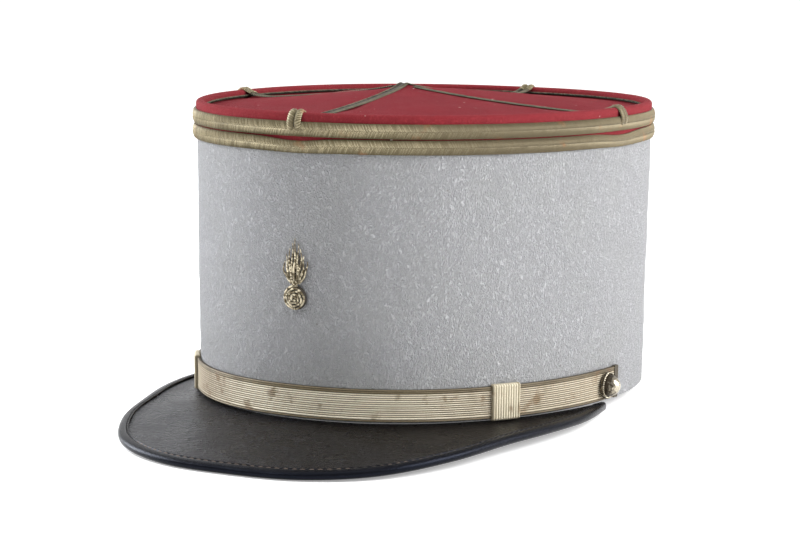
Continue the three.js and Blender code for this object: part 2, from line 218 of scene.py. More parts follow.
class Paint(Graph):
    """A material under construction, with the textures that the finishes share."""

    def __init__(self, name: str) -> None:
        """Starts an empty material.

        Args:
            name: The material's name.
        """
        self.material = bpy.data.materials.new(name)
        self.material.use_nodes = True
        self.material.node_tree.nodes.clear()
        super().__init__(self.material.node_tree)
        coordinates = self.add("ShaderNodeTexCoord")
        self.place = self.scaled(coordinates.outputs["Object"], 1 / MM)

    def stretched(self, x: float, y: float, z: float) -> Signal:
        """Multiplies the place in millimetres by a factor on each axis."""
        return self.vector("MULTIPLY", self.place, (x, y, z))

    def noise(
        self,
        place: Any,
        scale: float,
        detail: float = 2.0,
        roughness: float = 0.5,
        distortion: float = 0.0,
        kind: str = "FBM",
    ) -> Signal:
        """Adds a noise texture.

        Args:
            place: Where to read it, in millimetres.
            scale: Grains in a millimetre.
            detail: Octaves.
            roughness: Share that each finer octave keeps.
            distortion: How far the noise is bent by itself.
            kind: Type of fractal.

        Returns:
            The noise's value.
        """
        node = self.add(
            "ShaderNodeTexNoise",
            {"noise_type": kind},
            {
                "Vector": place,
                "Scale": scale,
                "Detail": detail,
                "Roughness": roughness,
                "Distortion": distortion,
            },
        )
        return self.signal(node, 0)

    def warped(self, place: Any, scale: float, reach: float) -> Signal:
        """Bends a place by a noise.

        Args:
            place: Where to start, in millimetres.
            scale: Bends in a millimetre.
            reach: How far a point may move, in millimetres.

        Returns:
            The bent place.
        """
        swirl = self.add("ShaderNodeTexNoise", None, {"Vector": place, "Scale": scale})
        centred = self.vector("SUBTRACT", swirl.outputs["Color"], (0.5, 0.5, 0.5))
        return self.vector("ADD", place, self.scaled(centred, 2 * reach))

    def cells(self, place: Any, scale: float, feature: str = "F1") -> Signal:
        """Adds a Voronoi texture and wraps its distance."""
        node = self.add(
            "ShaderNodeTexVoronoi", {"feature": feature}, {"Vector": place, "Scale": scale}
        )
        return self.signal(node, "Distance")

    def mix(self, factor: Any, first: Any, second: Any) -> Signal:
        """Mixes two colours.

        Args:
            factor: 0 gives the first colour and 1 the second.
            first: A colour or a signal.
            second: A colour or a signal.

        Returns:
            The mixed colour.
        """
        ends = [(*c, 1.0) if isinstance(c, tuple) else c for c in (first, second)]
        node = self.add(
            "ShaderNodeMix", {"data_type": "RGBA"}, {0: factor, 6: ends[0], 7: ends[1]}
        )
        return self.signal(node, 2)

    def attribute(self, name: str) -> Signal:
        """Reads a number stored on the piece's points."""
        node = self.add("ShaderNodeAttribute", {"attribute_name": name})
        return self.signal(node, "Fac")

    def place_on(self, axis: str) -> Signal:
        """Place on one of the cap's axes, in millimetres."""
        node = self.add("ShaderNodeSeparateXYZ", None, {0: self.place})
        return self.signal(node, axis)

    def bump(self, height: Any, depth: float) -> Signal:
        """Turns a height, where 1 is the full depth in metres, into a normal."""
        node = self.add("ShaderNodeBump", None, {"Height": height, "Distance": depth})
        return self.signal(node)

    def close(self, **sockets: Any) -> bpy.types.Material:
        """Ends the material in one shader.

        Args:
            sockets: The shader's inputs, with underscores for spaces.

        Returns:
            The finished material.
        """
        named = {key.replace("_", " "): value for key, value in sockets.items()}
        for key, value in named.items():
            if isinstance(value, tuple) and len(value) == 3:
                named[key] = (*value, 1.0)
        shader = self.add("ShaderNodeBsdfPrincipled", None, named)
        self.add("ShaderNodeOutputMaterial", None, {"Surface": shader.outputs[0]})
        return self.material


@dataclass(frozen=True)
class Felt:
    """Napped wool felt whose fibres lie in short crinkles."""

    name: str
    crest: Colour
    valley: Colour
    foot: Colour
    crinkle: float
    depth: float
    fuzz: Colour
    sheen: float
    gleam: float
    speck: Colour
    specks: float

    def material(self) -> bpy.types.Material:
        """Builds the felt.

        Returns:
            The finished material.
        """
        paint = Paint(self.name)
        drawn = paint.warped(paint.stretched(1.0, 1.0, 0.62), 0.35, 0.9)
        fibres = paint.noise(drawn, self.crinkle, 3.0, 0.5, 0.8, "RIDGED_MULTIFRACTAL")
        worms = paint.noise(drawn, 1.9 * self.crinkle, 2.0, 0.55, 1.2)
        fine = paint.noise(paint.place, 5.0, 3.0, 0.65)
        relief = fibres.between(0.2, 1.5) * 0.4 + worms.between(0.32, 0.68) * 0.5 + fine * 0.2
        mottle = paint.noise(paint.place, 0.035, 3.0, 0.6)
        # Painted shade: the valleys of the crinkles are painted darker than their crests.
        tone = paint.mix(relief.between(0.3, 0.84), self.valley, self.crest)
        grey = paint.place_on("Z").between(48.0, 8.0) * 0.55
        tone = paint.mix(grey * mottle.between(0.25, 0.7), tone, self.foot)
        shade = paint.mix(mottle.between(0.35, 0.7) * 0.3, tone, self.foot)
        dots = paint.cells(paint.warped(paint.place, 0.8, 0.5), 0.16).between(0.075, 0.04)
        sparse = paint.noise(paint.place, 0.09, 0.0).between(0.5, 0.56)
        shade = paint.mix(dots * sparse * self.specks, shade, self.speck)
        return paint.close(
            Base_Color=shade,
            Roughness=0.93,
            Normal=paint.bump(relief, self.depth),
            Specular_IOR_Level=self.gleam,
            Sheen_Weight=self.sheen,
            Sheen_Roughness=0.45,
            Sheen_Tint=self.fuzz,
        )


@dataclass(frozen=True)
class MetalThread:
    """Fine metal thread, laid or plaited, with dull gaps between its strands painted as shade, and a
    painted highlight across each lane.
    """

    name: str
    bright: Colour
    deep: Colour
    tarnish: Colour
    rust: Colour
    wear: float
    metal: float
    gloss: float
    gleam: float = 0.4
    tarnish_left: float = 0.0
    tarnish_right: float = 0.0
    stains: float = 0.0
    spark: float = 0.3
    mottle: float = 0.9
    hollows: float = 0.25

    def material(self) -> bpy.types.Material:
        """Builds the thread.

        Returns:
            The finished material.
        """
        paint = Paint(self.name)
        # rub is a painted highlight on one side of each strand, fading to painted shade on the other;
        # cores lack it, so they are painted darker as shade in the gaps.
        strand, brightened = paint.attribute("shade"), paint.attribute("rub")
        grain = paint.noise(paint.place, 4.5, 2.0, 0.6)
        cloud = paint.noise(paint.place, 0.085, 3.0, 0.65)
        stain = paint.noise(paint.place, 0.13, 3.0, 0.55)
        glint = (strand * self.spark + grain * self.mottle + brightened * 0.6).between(
            self.hollows, self.hollows + 0.7
        )
        tone = paint.mix(glint, self.deep, self.bright)
        dull = (cloud * 0.75 + grain * 0.3).between(0.62 - 0.25 * self.wear, 0.8)
        tone = paint.mix(dull * (0.35 + 0.5 * self.wear), tone, self.tarnish)
        # Painted shade: the thread is darkened towards the tarnish colour on the wearer's left and
        # right, where the lamps light it most.
        left = paint.place_on("X").between(15.0, 75.0) * self.tarnish_left
        right = paint.place_on("X").between(-8.0, -48.0) * self.tarnish_right
        tone = paint.mix((left + right) * (0.75 + grain * 0.4), tone, self.tarnish)
        brown = stain.between(0.6 - self.stains, 0.76 - self.stains) * 0.75
        tone = paint.mix(brown, tone, self.rust)
        rough = self.gloss + dull * 0.2 + grain * 0.12
        return paint.close(
            Base_Color=tone,
            Metallic=self.metal * (1.0 - dull * 0.35),
            Roughness=rough,
            Normal=paint.bump(grain, 0.06 * MM),
            Specular_IOR_Level=self.gleam,
        )


@dataclass(frozen=True)
class WornGilt:
    """Polished gilt sheet metal, with patina in its corners and varying by noise; on a dome the dark
    reflection low down and the pale highlight at the top are painted.
    """

    name: str
    bright: Colour
    patina: Colour

    def material(self) -> bpy.types.Material:
        """Builds the gilt.

        Returns:
            The finished material.
        """
        paint = Paint(self.name)
        corner = paint.attribute("corner")
        cloud = paint.noise(paint.place, 0.9, 4.0, 0.65)
        # The corner number gives patina in corners and, on a dome, a painted dark reflection low down
        # and a painted highlight at the top.
        dark = (corner + (cloud - 0.5) * 0.9).between(0.12, 0.5)
        tone = paint.mix(dark, self.bright, self.patina)
        dents = paint.noise(paint.place, 0.7, 3.0, 0.5)
        return paint.close(
            Base_Color=tone,
            Metallic=1.0 - dark * 0.35,
            Roughness=0.12 + dark * 0.25 + cloud * 0.08,
            Normal=paint.bump(dents, 0.25 * MM),
        )


@dataclass(frozen=True)
class Leather:
    """Smooth dyed leather, with fine creases, scuffs and dust."""

    name: str
    dye: Colour
    worn: Colour
    dust: Colour
    rough: float
    coat: float
    crease: float
    scuffs: float
    mirror: float

    def material(self) -> bpy.types.Material:
        """Builds the leather.

        Returns:
            The finished material.
        """
        paint = Paint(self.name)
        grain = paint.cells(paint.warped(paint.place, 1.2, 0.25), 2.4, "SMOOTH_F1")
        bent = paint.warped(paint.stretched(0.3, 1.0, 1.0), 0.12, 1.6)
        creases = paint.noise(bent, 0.55, 4.0, 0.6, 0.6, "RIDGED_MULTIFRACTAL")
        cloud = paint.noise(paint.place, 0.05, 4.0, 0.6)
        scratch = paint.noise(paint.stretched(0.12, 1.1, 1.1), 1.6, 4.0, 0.75)
        brightened = scratch.between(0.6, 0.78) * cloud.between(0.4, 0.6) * self.scuffs
        tone = paint.mix(cloud.between(0.3, 0.75) * 0.8, self.dye, self.worn)
        tone = paint.mix(brightened * 0.5, tone, self.dust)
        dots = paint.cells(paint.place, 0.22).between(0.07, 0.035)
        some = paint.noise(paint.place, 0.11, 0.0).between(0.53, 0.58)
        tone = paint.mix(dots * some * self.scuffs, tone, self.dust)
        ripple = paint.noise(paint.stretched(0.4, 1.0, 1.0), 0.9, 3.0, 0.6, 1.0)
        relief = creases.between(0.2, 1.6) * self.crease + ripple * self.crease + grain * 0.2
        return paint.close(
            Base_Color=tone,
            Roughness=self.rough + (cloud - 0.5) * 0.3 * self.scuffs + brightened * 0.2,
            Normal=paint.bump(relief, 0.5 * MM),
            Specular_IOR_Level=self.mirror,
            Specular_Tint=(0.52, 0.64, 1.0),
            Coat_Weight=self.coat,
            Coat_Roughness=0.12,
        )


@dataclass(frozen=True)
class Thread:
    """Waxed sewing thread, darker towards the sides and in patches: painted shade of its stitch
    holes, and soil.
    """

    name: str
    tone: Colour
    soiled: Colour

    def material(self) -> bpy.types.Material:
        """Builds the thread.

        Returns:
            The finished material.
        """
        paint = Paint(self.name)
        wear = paint.noise(paint.place, 0.07, 2.0)
        # Painted shade and soil: the thread darkens towards the sides, as shade in the stitch holes,
        # and in patches of wear.
        sidewards = paint.math("ABSOLUTE", paint.place_on("X")) / 90.0
        shade_and_soil = (sidewards + (wear - 0.5)).between(0.35, 0.6)
        tone = paint.mix(shade_and_soil, self.tone, self.soiled)
        twist = paint.noise(paint.place, 4.0, 1.0)
        return paint.close(
            Base_Color=tone, Roughness=0.7, Normal=paint.bump(twist, 0.1 * MM)
        )


class Wardrobe:
    """Every finish of the cap, built once."""

    def __init__(self) -> None:
        """Builds the materials."""
        self.blue = Felt(
            "silver_blue_felt",
            crest=(0.67, 0.67, 0.685),
            valley=(0.41, 0.41, 0.424),
            foot=(0.42, 0.425, 0.41),
            crinkle=0.66,
            depth=3.7 * MM,
            fuzz=(0.95, 0.96, 1.0),
            sheen=0.3,
            gleam=0.2,
            speck=(0.16, 0.13, 0.1),
            specks=0.5,
        ).material()
        red = Felt(
            "garance_cloth",
            crest=(0.285, 0.038, 0.045),
            valley=(0.185, 0.02, 0.025),
            foot=(0.23, 0.018, 0.026),
            crinkle=1.1,
            depth=0.5 * MM,
            fuzz=(1.0, 0.6, 0.65),
            sheen=0.03,
            gleam=0.08,
            speck=(0.7, 0.55, 0.5),
            specks=0.8,
        )
        self.red = red.material()
        # Painted shade: the disc gets a darker copy of the rim's red cloth, toned down against the
        # light it catches from above.
        self.disc_red = replace(
            red, name="disc_cloth", crest=(0.225, 0.018, 0.026), valley=(0.145, 0.009, 0.014)
        ).material()
        self.braid = MetalThread(
            "gold_braid",
            bright=(0.5, 0.435, 0.28),
            deep=(0.12, 0.098, 0.05),
            tarnish=(0.125, 0.1, 0.057),
            rust=(0.24, 0.11, 0.045),
            wear=0.5,
            metal=0.45,
            gloss=0.38,
            tarnish_left=0.95,
            tarnish_right=0.3,
            hollows=0.66,
        ).material()
        self.border = MetalThread(
            "dulled_border",
            bright=(0.3, 0.25, 0.15),
            deep=(0.11, 0.085, 0.05),
            tarnish=(0.07, 0.052, 0.032),
            rust=(0.13, 0.07, 0.035),
            wear=0.6,
            metal=0.35,
            gloss=0.45,
            tarnish_left=0.5,
            tarnish_right=0.3,
        ).material()
        self.soutache = MetalThread(
            "olive_soutache",
            bright=(0.17, 0.153, 0.108),
            deep=(0.022, 0.019, 0.014),
            tarnish=(0.035, 0.031, 0.024),
            rust=(0.09, 0.055, 0.03),
            wear=0.45,
            metal=0.05,
            gloss=0.7,
            gleam=0.12,
            hollows=0.5,
        ).material()
        tape = MetalThread(
            "ribbed_tape",
            bright=(0.9, 0.84, 0.69),
            deep=(0.46, 0.39, 0.27),
            tarnish=(0.22, 0.175, 0.115),
            rust=(0.19, 0.12, 0.06),
            wear=0.3,
            metal=0.15,
            gloss=0.55,
            gleam=0.2,
            tarnish_left=0.65,
            tarnish_right=0.85,
            stains=0.05,
        )
        self.tape = tape.material()
        self.slide_tape = replace(
            tape,
            name="slide_tape",
            bright=(0.72, 0.67, 0.53),
            deep=(0.36, 0.31, 0.21),
            tarnish_left=0.1,
            tarnish_right=0.4,
        ).material()
        self.ground = MetalThread(
            "tape_ground",
            bright=(0.1, 0.08, 0.05),
            deep=(0.035, 0.027, 0.017),
            tarnish=(0.03, 0.024, 0.014),
            rust=(0.08, 0.05, 0.02),
            wear=0.5,
            metal=0.2,
            gloss=0.6,
        ).material()
        self.bullion = MetalThread(
            "gold_bullion",
            bright=(0.8, 0.72, 0.54),
            deep=(0.14, 0.108, 0.06),
            tarnish=(0.1, 0.08, 0.045),
            rust=(0.14, 0.09, 0.045),
            wear=0.2,
            metal=0.6,
            gloss=0.27,
            spark=0.75,
            mottle=0.3,
            hollows=0.22,
        ).material()
        self.gilt = WornGilt(
            "worn_gilt", bright=(0.52, 0.47, 0.37), patina=(0.04, 0.03, 0.018)
        ).material()
        self.leather = Leather(
            "peak_leather",
            dye=(0.0055, 0.0043, 0.003),
            worn=(0.0075, 0.0058, 0.0042),
            dust=(0.2, 0.18, 0.16),
            rough=0.28,
            coat=0.0,
            crease=1.2,
            scuffs=1.0,
            mirror=0.26,
        ).material()
        self.patent = Leather(
            "patent_binding",
            dye=(0.003, 0.003, 0.0038),
            worn=(0.005, 0.005, 0.0065),
            dust=(0.1, 0.1, 0.1),
            rough=0.24,
            coat=0.0,
            crease=0.03,
            scuffs=0.15,
            mirror=0.1,
        ).material()
        # A near-black sheet that stands for painted shade, under the soutache webs and the bullion.
        self.backing = Thread(
            "dark_backing", tone=(0.035, 0.028, 0.02), soiled=(0.022, 0.018, 0.013)
        ).material()
        self.stitch = Thread(
            "brown_thread", tone=(0.14, 0.105, 0.08), soiled=(0.012, 0.009, 0.007)
        ).material()


# ---- Form of the cap -------------------------------------------------------------------------


def swell(values: Array, power: float) -> Array:
    """Raises numbers to a power and keeps their sign."""
    return np.sign(values) * np.abs(values) ** power


def unit(vectors: Array) -> Array:
    """Scales vectors to a length of one."""
    return vectors / np.linalg.norm(vectors, axis=-1, keepdims=True)


def together(*values: Any) -> Sequence[Array]:
    """Brings numbers and arrays to one common shape."""
    return np.broadcast_arrays(*(np.asarray(value, float) for value in values))


def travelled(points: Array) -> Array:
    """Distance from the start of a line to each of its points."""
    steps = np.linalg.norm(np.diff(points, axis=0), axis=1)
    return np.concatenate([[0.0], np.cumsum(steps)])


def ring(side: Array, face: Array, angle: Array) -> Array:
    """Directions round each point of a line, at angles that run from its side to its face."""
    cos, sin = np.cos(angle)[None, :, None], np.sin(angle)[None, :, None]
    return side[:, None] * cos + face[:, None] * sin


@dataclass(frozen=True)
class Spot:
    """A place beside the wall, with its directions across, up and squarely away."""

    origin: Array
    across: Array
    up: Array
    square: Array

    def at(self, x: Any, y: Any, z: Any) -> Array:
        """Finds points near the place.

        Args:
            x: Distances across, as a number or an array.
            y: Distances up.
            z: Distances away.

        Returns:
            The points.
        """
        x, y, z = together(x, y, z)
        flat = self.origin + x[..., None] * self.across + y[..., None] * self.up
        return flat + z[..., None] * self.square


@dataclass(frozen=True)
class CapForm:
    """The oval wall of the cap, drawn upright and then leant back onto the surface below.

    A turn is an angle round the oval, from the front towards the wearer's left. A level is a
    height on the wall, and out is a distance outwards from its face.
    """

    half_length: float = 108.8 * MM
    half_width: float = 82.0 * MM
    squareness: float = 2.155
    back_fullness: float = 0.062
    flare_length: float = 0.010
    flare_width: float = 0.019
    wall_lean: float = math.radians(2.5)
    head_rise: float = 0.01443
    braid_top: float = 111.1 * MM
    crown_top: float = 100.7 * MM
    felt_wall: float = 2.5 * MM
    gap: float = 0.3 * MM
    lean: float = math.radians(2.5045)
    seat_y: float = 0.0
    seat_z: float = 0.0

    @classmethod
    def seated(cls, low: Vector, high: Vector) -> "CapForm":
        """Finds the form's seat from the box of the crown's wall.

        Args:
            low: Lowest corner of the wall's box.
            high: Highest corner of the box.

        Returns:
            The form, in its place on the surface.
        """
        bare = cls()
        turn = np.linspace(-math.pi, math.pi, 65)
        foot = bare.wall(turn, 0.0, 0.0)
        head = bare.wall(turn, bare.crown_top, 0.0)
        hind = max(foot[:, 1].max(), head[:, 1].max())
        return replace(bare, seat_y=high.y - hind, seat_z=low.z - foot[:, 2].min())

    def oval(self, turn: Array, level: Array) -> tuple[Array, Array]:
        """Finds points of the oval, before the wall's lean.

        Args:
            turn: Turns round the oval.
            level: Levels.

        Returns:
            Their X and their Y.
        """
        share = level / self.braid_top
        power = 2 / self.squareness
        length = self.half_length * (1 + self.flare_length * share)
        width = self.half_width * (1 + self.flare_width * share)
        y = -length * swell(np.cos(turn), power)
        x = width * swell(np.sin(turn), power) * (1 + self.back_fullness * y / length)
        return x, y

    def facing(self, turn: Array, level: Array) -> Array:
        """Finds level directions away from the wall, on the upright cap.

        Args:
            turn: Turns round the oval.
            level: Levels.

        Returns:
            The directions.
        """
        step = 0.001
        ahead = self.oval(turn + step, level)
        behind = self.oval(turn - step, level)
        dx, dy = ahead[0] - behind[0], ahead[1] - behind[1]
        return unit(np.stack([dy, -dx, np.zeros_like(dx)], axis=-1))

    def upright(self, turn: Array, level: Array, out: Array) -> Array:
        """Finds points on or beside the wall of the upright cap.

        Args:
            turn: Turns round the oval.
            level: Levels.
            out: Distances away from the wall.

        Returns:
            The points.
        """
        turn, level, out = together(turn, level, out)
        x, y = self.oval(turn, level)
        rise = self.head_rise * (level / self.braid_top) * y
        forward = level * math.tan(self.wall_lean)
        point = np.stack([x, y - forward, level + rise], axis=-1)
        return point + self.facing(turn, level) * out[..., None]

    def turned(self, vectors: Array) -> Array:
        """Leans vectors back with the cap.

        Args:
            vectors: Vectors on the upright cap.

        Returns:
            The leant vectors.
        """
        cos, sin = math.cos(self.lean), math.sin(self.lean)
        x, y, z = np.moveaxis(np.asarray(vectors, float), -1, 0)
        return np.stack([x, y * cos + z * sin, z * cos - y * sin], axis=-1)

    def seat(self, points: Array) -> Array:
        """Leans points back and puts them in their place on the surface."""
        return self.turned(points) + np.array([0.0, self.seat_y, self.seat_z])

    def wall(self, turn: Array, level: Array, out: Array) -> Array:
        """Point on or beside the wall, in its place."""
        return self.seat(self.upright(turn, level, out))

    def outwards(self, turn: Array, level: Array) -> Array:
        """Direction away from the wall, in its place."""
        return self.turned(self.facing(np.asarray(turn, float), np.asarray(level, float)))

    def upwards(self, turn: Array, level: Array) -> Array:
        """Direction up the wall, in its place."""
        level = np.asarray(level, float)
        return unit(self.wall(turn, level + MM, 0.0) - self.wall(turn, level - MM, 0.0))

    def spot(self, turn: float, level: float, out: float) -> Spot:
        """Finds a place beside the wall and its directions.

        Args:
            turn: Its turn round the oval.
            level: Its level.
            out: Its distance squarely away from the wall.

        Returns:
            The place.
        """
        up, away = self.upwards(turn, level), self.outwards(turn, level)
        square = unit(away - up * float(away @ up))
        origin = self.wall(turn, level, 0.0) + square * out
        return Spot(origin, np.cross(up, square), up, square)

    def even_turns(self, count: int, start: float = -math.pi, end: float = math.pi) -> Array:
        """Turns that are evenly far apart along the wall.

        Args:
            count: How many turns, with both ends.
            start: First turn.
            end: Last turn.

        Returns:
            The turns.
        """
        fine = np.linspace(start, end, 4001)
        along = travelled(self.upright(fine, 0.5 * self.braid_top, 0.0))
        return np.interp(np.linspace(0.0, along[-1], count), along, fine)


# ---- Meshes ----------------------------------------------------------------------------------


def placed(name: str, data: bpy.types.ID) -> bpy.types.Object:
    """Makes an object of some data and links it to the scene.

    Args:
        name: The object's name.
        data: Its mesh, lamp or camera.

    Returns:
        The object.
    """
    item = bpy.data.objects.new(name, data)
    bpy.context.scene.collection.objects.link(item)
    return item


def store(mesh: bpy.types.Mesh, name: str, values: Array, kind: str = "FLOAT") -> None:
    """Stores a number or a vector on each of a mesh's points.

    Args:
        mesh: The mesh.
        name: The attribute's name.
        values: The numbers or vectors.
        kind: FLOAT for numbers and FLOAT_VECTOR for vectors.
    """
    layer = mesh.attributes.new(name, kind, "POINT")
    key = "value" if kind == "FLOAT" else "vector"
    layer.data.foreach_set(key, np.ascontiguousarray(values, np.float32).ravel())


@dataclass
class Shell:
    """Points and faces of a piece, before they become a mesh."""

    points: Array
    faces: list[tuple[int, ...]]
    numbers: dict[str, Array] = field(default_factory=dict)

    @classmethod
    def swept(cls, sections: Array, loop: bool) -> "Shell":
        """Closed skin through sections with equally many points.

        Args:
            sections: Points by section and by place in the section.
            loop: Whether the last section joins the first. Other rows get closed ends.

        Returns:
            The skin.
        """
        rows, size = sections.shape[:2]
        points = sections.reshape(-1, 3)
        faces: list[tuple[int, ...]] = []
        for i in range(rows if loop else rows - 1):
            here, there = i * size, ((i + 1) % rows) * size
            for j in range(size):
                k = (j + 1) % size
                faces.append((here + j, there + j, there + k, here + k))
        if not loop:
            middles = sections[[0, -1]].mean(axis=1)
            first = len(points)
            points = np.concatenate([points, middles])
            last = (rows - 1) * size
            for j in range(size):
                k = (j + 1) % size
                faces.append((j, k, first))
                faces.append((last + k, last + j, first + 1))
        return cls(points, faces)

    @classmethod
    def lens(cls, top: Array, bottom: Array, peak: Array, pit: Array) -> "Shell":
        """Closed body between an upper and a lower face that both run round a middle point.

        Args:
            top: Points of the upper face, by turn and from the middle outwards.
            bottom: Points of the lower face, in the same order.
            peak: Middle point of the upper face.
            pit: Middle point of the lower face.

        Returns:
            The body.
        """
        rows, size = top.shape[:2]
        count = rows * size
        points = np.concatenate([top.reshape(-1, 3), bottom.reshape(-1, 3), [peak, pit]])
        faces: list[tuple[int, ...]] = []
        for i in range(rows):
            here, there = i * size, ((i + 1) % rows) * size
            for j in range(size - 1):
                upper = (here + j, here + j + 1, there + j + 1, there + j)
                faces.append(upper)
                faces.append(tuple(count + v for v in reversed(upper)))
            edge = (here + size - 1, count + here + size - 1)
            next_edge = (there + size - 1, count + there + size - 1)
            faces.append((edge[0], edge[1], next_edge[1], next_edge[0]))
            faces.append((2 * count, here, there))
            faces.append((2 * count + 1, count + there, count + here))
        return cls(points, faces)

    def volume(self) -> float:
        """Measures the shell.

        Returns:
            The volume inside its faces, which is negative where they point inwards.
        """
        total = 0.0
        spots = self.points - self.points.mean(axis=0)
        by_size: dict[int, list[tuple[int, ...]]] = {}
        for face in self.faces:
            by_size.setdefault(len(face), []).append(face)
        for size, faces in by_size.items():
            corner = spots[np.array(faces)]
            for k in range(1, size - 1):
                cross = np.cross(corner[:, k], corner[:, k + 1])
                total += float((corner[:, 0] * cross).sum()) / 6
        return total

    def build(
        self, name: str, material: bpy.types.Material | None, crisp: float = 40.0
    ) -> bpy.types.Object:
        """Makes the mesh object, with its faces outwards.

        Args:
            name: The object's name.
            material: Its material, if it has one.
            crisp: Angle in degrees from which an edge stays sharp.

        Returns:
            The object, linked to the scene.
        """
        faces = self.faces
        if self.volume() < 0:
            faces = [tuple(reversed(face)) for face in faces]
        mesh = bpy.data.meshes.new(name)
        mesh.from_pydata(self.points.tolist(), [], faces)
        for key, values in self.numbers.items():
            store(mesh, key, values)
        mesh.shade_smooth()
        mesh.set_sharp_from_angle(angle=math.radians(crisp))
        if material:
            mesh.materials.append(material)
        return placed(name, mesh)


def rippled(points: Array, facing: Array, ripples: Iterable[tuple[float, float]]) -> Array:
    """Moves points in and out by smooth noise.

    Args:
        points: Points to move.
        facing: Direction to move each of them in.
        ripples: Pairs of a ripple's size and height, in metres.

    Returns:
        The moved points.
    """
    moved = points.copy()
    flat = points.reshape(-1, 3)
    for size, height in ripples:
        shift = [noise.noise(Vector(p) / size) for p in flat]
        moved += facing * (np.array(shift).reshape(points.shape[:-1]) * height)[..., None]
    return moved


def tube(line: Array, radii: Array, sides: int, flatten: float = 1.0) -> Shell:
    """Round thread along a line on the XY plane's axes, with closed ends.

    Args:
        line: Points of its middle.
        radii: Radius at each point.
        sides: Sides of its section.
        flatten: Height of the section as a share of its width.

    Returns:
        The thread.
    """
    along = unit(np.gradient(line, axis=0))
    across = unit(np.cross(along, [0.0, 0.0, 1.0]))
    up = np.cross(across, along)
    angle = np.linspace(0, 2 * math.pi, sides, endpoint=False)
    section = ring(across, up * flatten, angle) * radii[:, None, None]
    return Shell.swept(line[:, None] + section, loop=False)


def merged(name: str, pieces: Sequence[bpy.types.Object]) -> bpy.types.Object:
    """Joins objects into one piece.

    Args:
        name: The piece's name.
        pieces: Objects whose place is in their meshes.

    Returns:
        The joined object.
    """
    for piece in bpy.context.scene.objects:
        piece.select_set(False)
    for piece in pieces:
        piece.select_set(True)
    bpy.context.view_layer.objects.active = pieces[0]
    if len(pieces) > 1:
        bpy.ops.object.join()
    pieces[0].name = name
    pieces[0].data.name = name
    return pieces[0]


# ---- Geometry trees --------------------------------------------------------------------------


@dataclass
class Path:
    """A line that strands follow, with the directions beside it and away from its ground."""

    points: Array
    side: Array
    face: Array
    size: Array | float = 1.0
    loop: bool = False

    def carrier(self) -> bpy.types.Object:
        """Makes the object that a geometry tree reads the path from.

        Returns:
            An object whose mesh is the path's line.
        """
        count = len(self.points)
        edges = [(i, (i + 1) % count) for i in range(count if self.loop else count - 1)]
        mesh = bpy.data.meshes.new("path")
        mesh.from_pydata(self.points.tolist(), edges, [])
        store(mesh, "side", self.side, "FLOAT_VECTOR")
        store(mesh, "face", self.face, "FLOAT_VECTOR")
        store(mesh, "size", np.broadcast_to(self.size, (count,)))
        return placed("path", mesh)


class GeometryTree:
    """A geometry node tree with named inputs, applied to an object and made a plain mesh."""

    def __init__(self, name: str, inputs: Mapping[str, str]) -> None:
        """Starts the tree.

        Args:
            name: The tree's name.
            inputs: Socket types by the inputs' names.
        """
        self.group = bpy.data.node_groups.new(name, "GeometryNodeTree")
        self.graph = Graph(self.group)
        face = self.group.interface
        face.new_socket("Geometry", in_out="INPUT", socket_type="NodeSocketGeometry")
        self.keys = {
            label: face.new_socket(label, in_out="INPUT", socket_type=kind).identifier
            for label, kind in inputs.items()
        }
        face.new_socket("Geometry", in_out="OUTPUT", socket_type="NodeSocketGeometry")
        self.given = self.graph.add("NodeGroupInput")

    def read(self, label: str) -> Signal:
        """Wraps one of the tree's inputs."""
        return self.graph.signal(self.given, label)

    def finish(self, geometry: bpy.types.NodeSocket) -> None:
        """Ends the tree: smooth faces, one material, and the output.

        Args:
            geometry: The last geometry.
        """
        smooth = self.graph.add("GeometryNodeSetShadeSmooth", None, {"Geometry": geometry})
        dressed = self.graph.add(
            "GeometryNodeSetMaterial",
            None,
            {"Geometry": smooth.outputs[0], "Material": self.read("Material")},
        )
        self.graph.add("NodeGroupOutput", None, {"Geometry": dressed.outputs[0]})

    def apply(self, carrier: bpy.types.Object, name: str, **values: Any) -> bpy.types.Object:
        """Runs the tree on an object and replaces the object by the result.

        Args:
            carrier: Object that the tree reads.
            name: Name of the new object.
            values: The tree's inputs, by name.

        Returns:
            A plain mesh object.
        """
        modifier = carrier.modifiers.new(self.group.name, "NODES")
        modifier.node_group = self.group
        for label, value in values.items():
            modifier[self.keys[label]] = value
        graph = bpy.context.evaluated_depsgraph_get()
        result = carrier.evaluated_get(graph)
        mesh = bpy.data.meshes.new_from_object(
            result, preserve_all_data_layers=True, depsgraph=graph
        )
        bpy.data.objects.remove(carrier)
        mesh.name = name
        return placed(name, mesh)


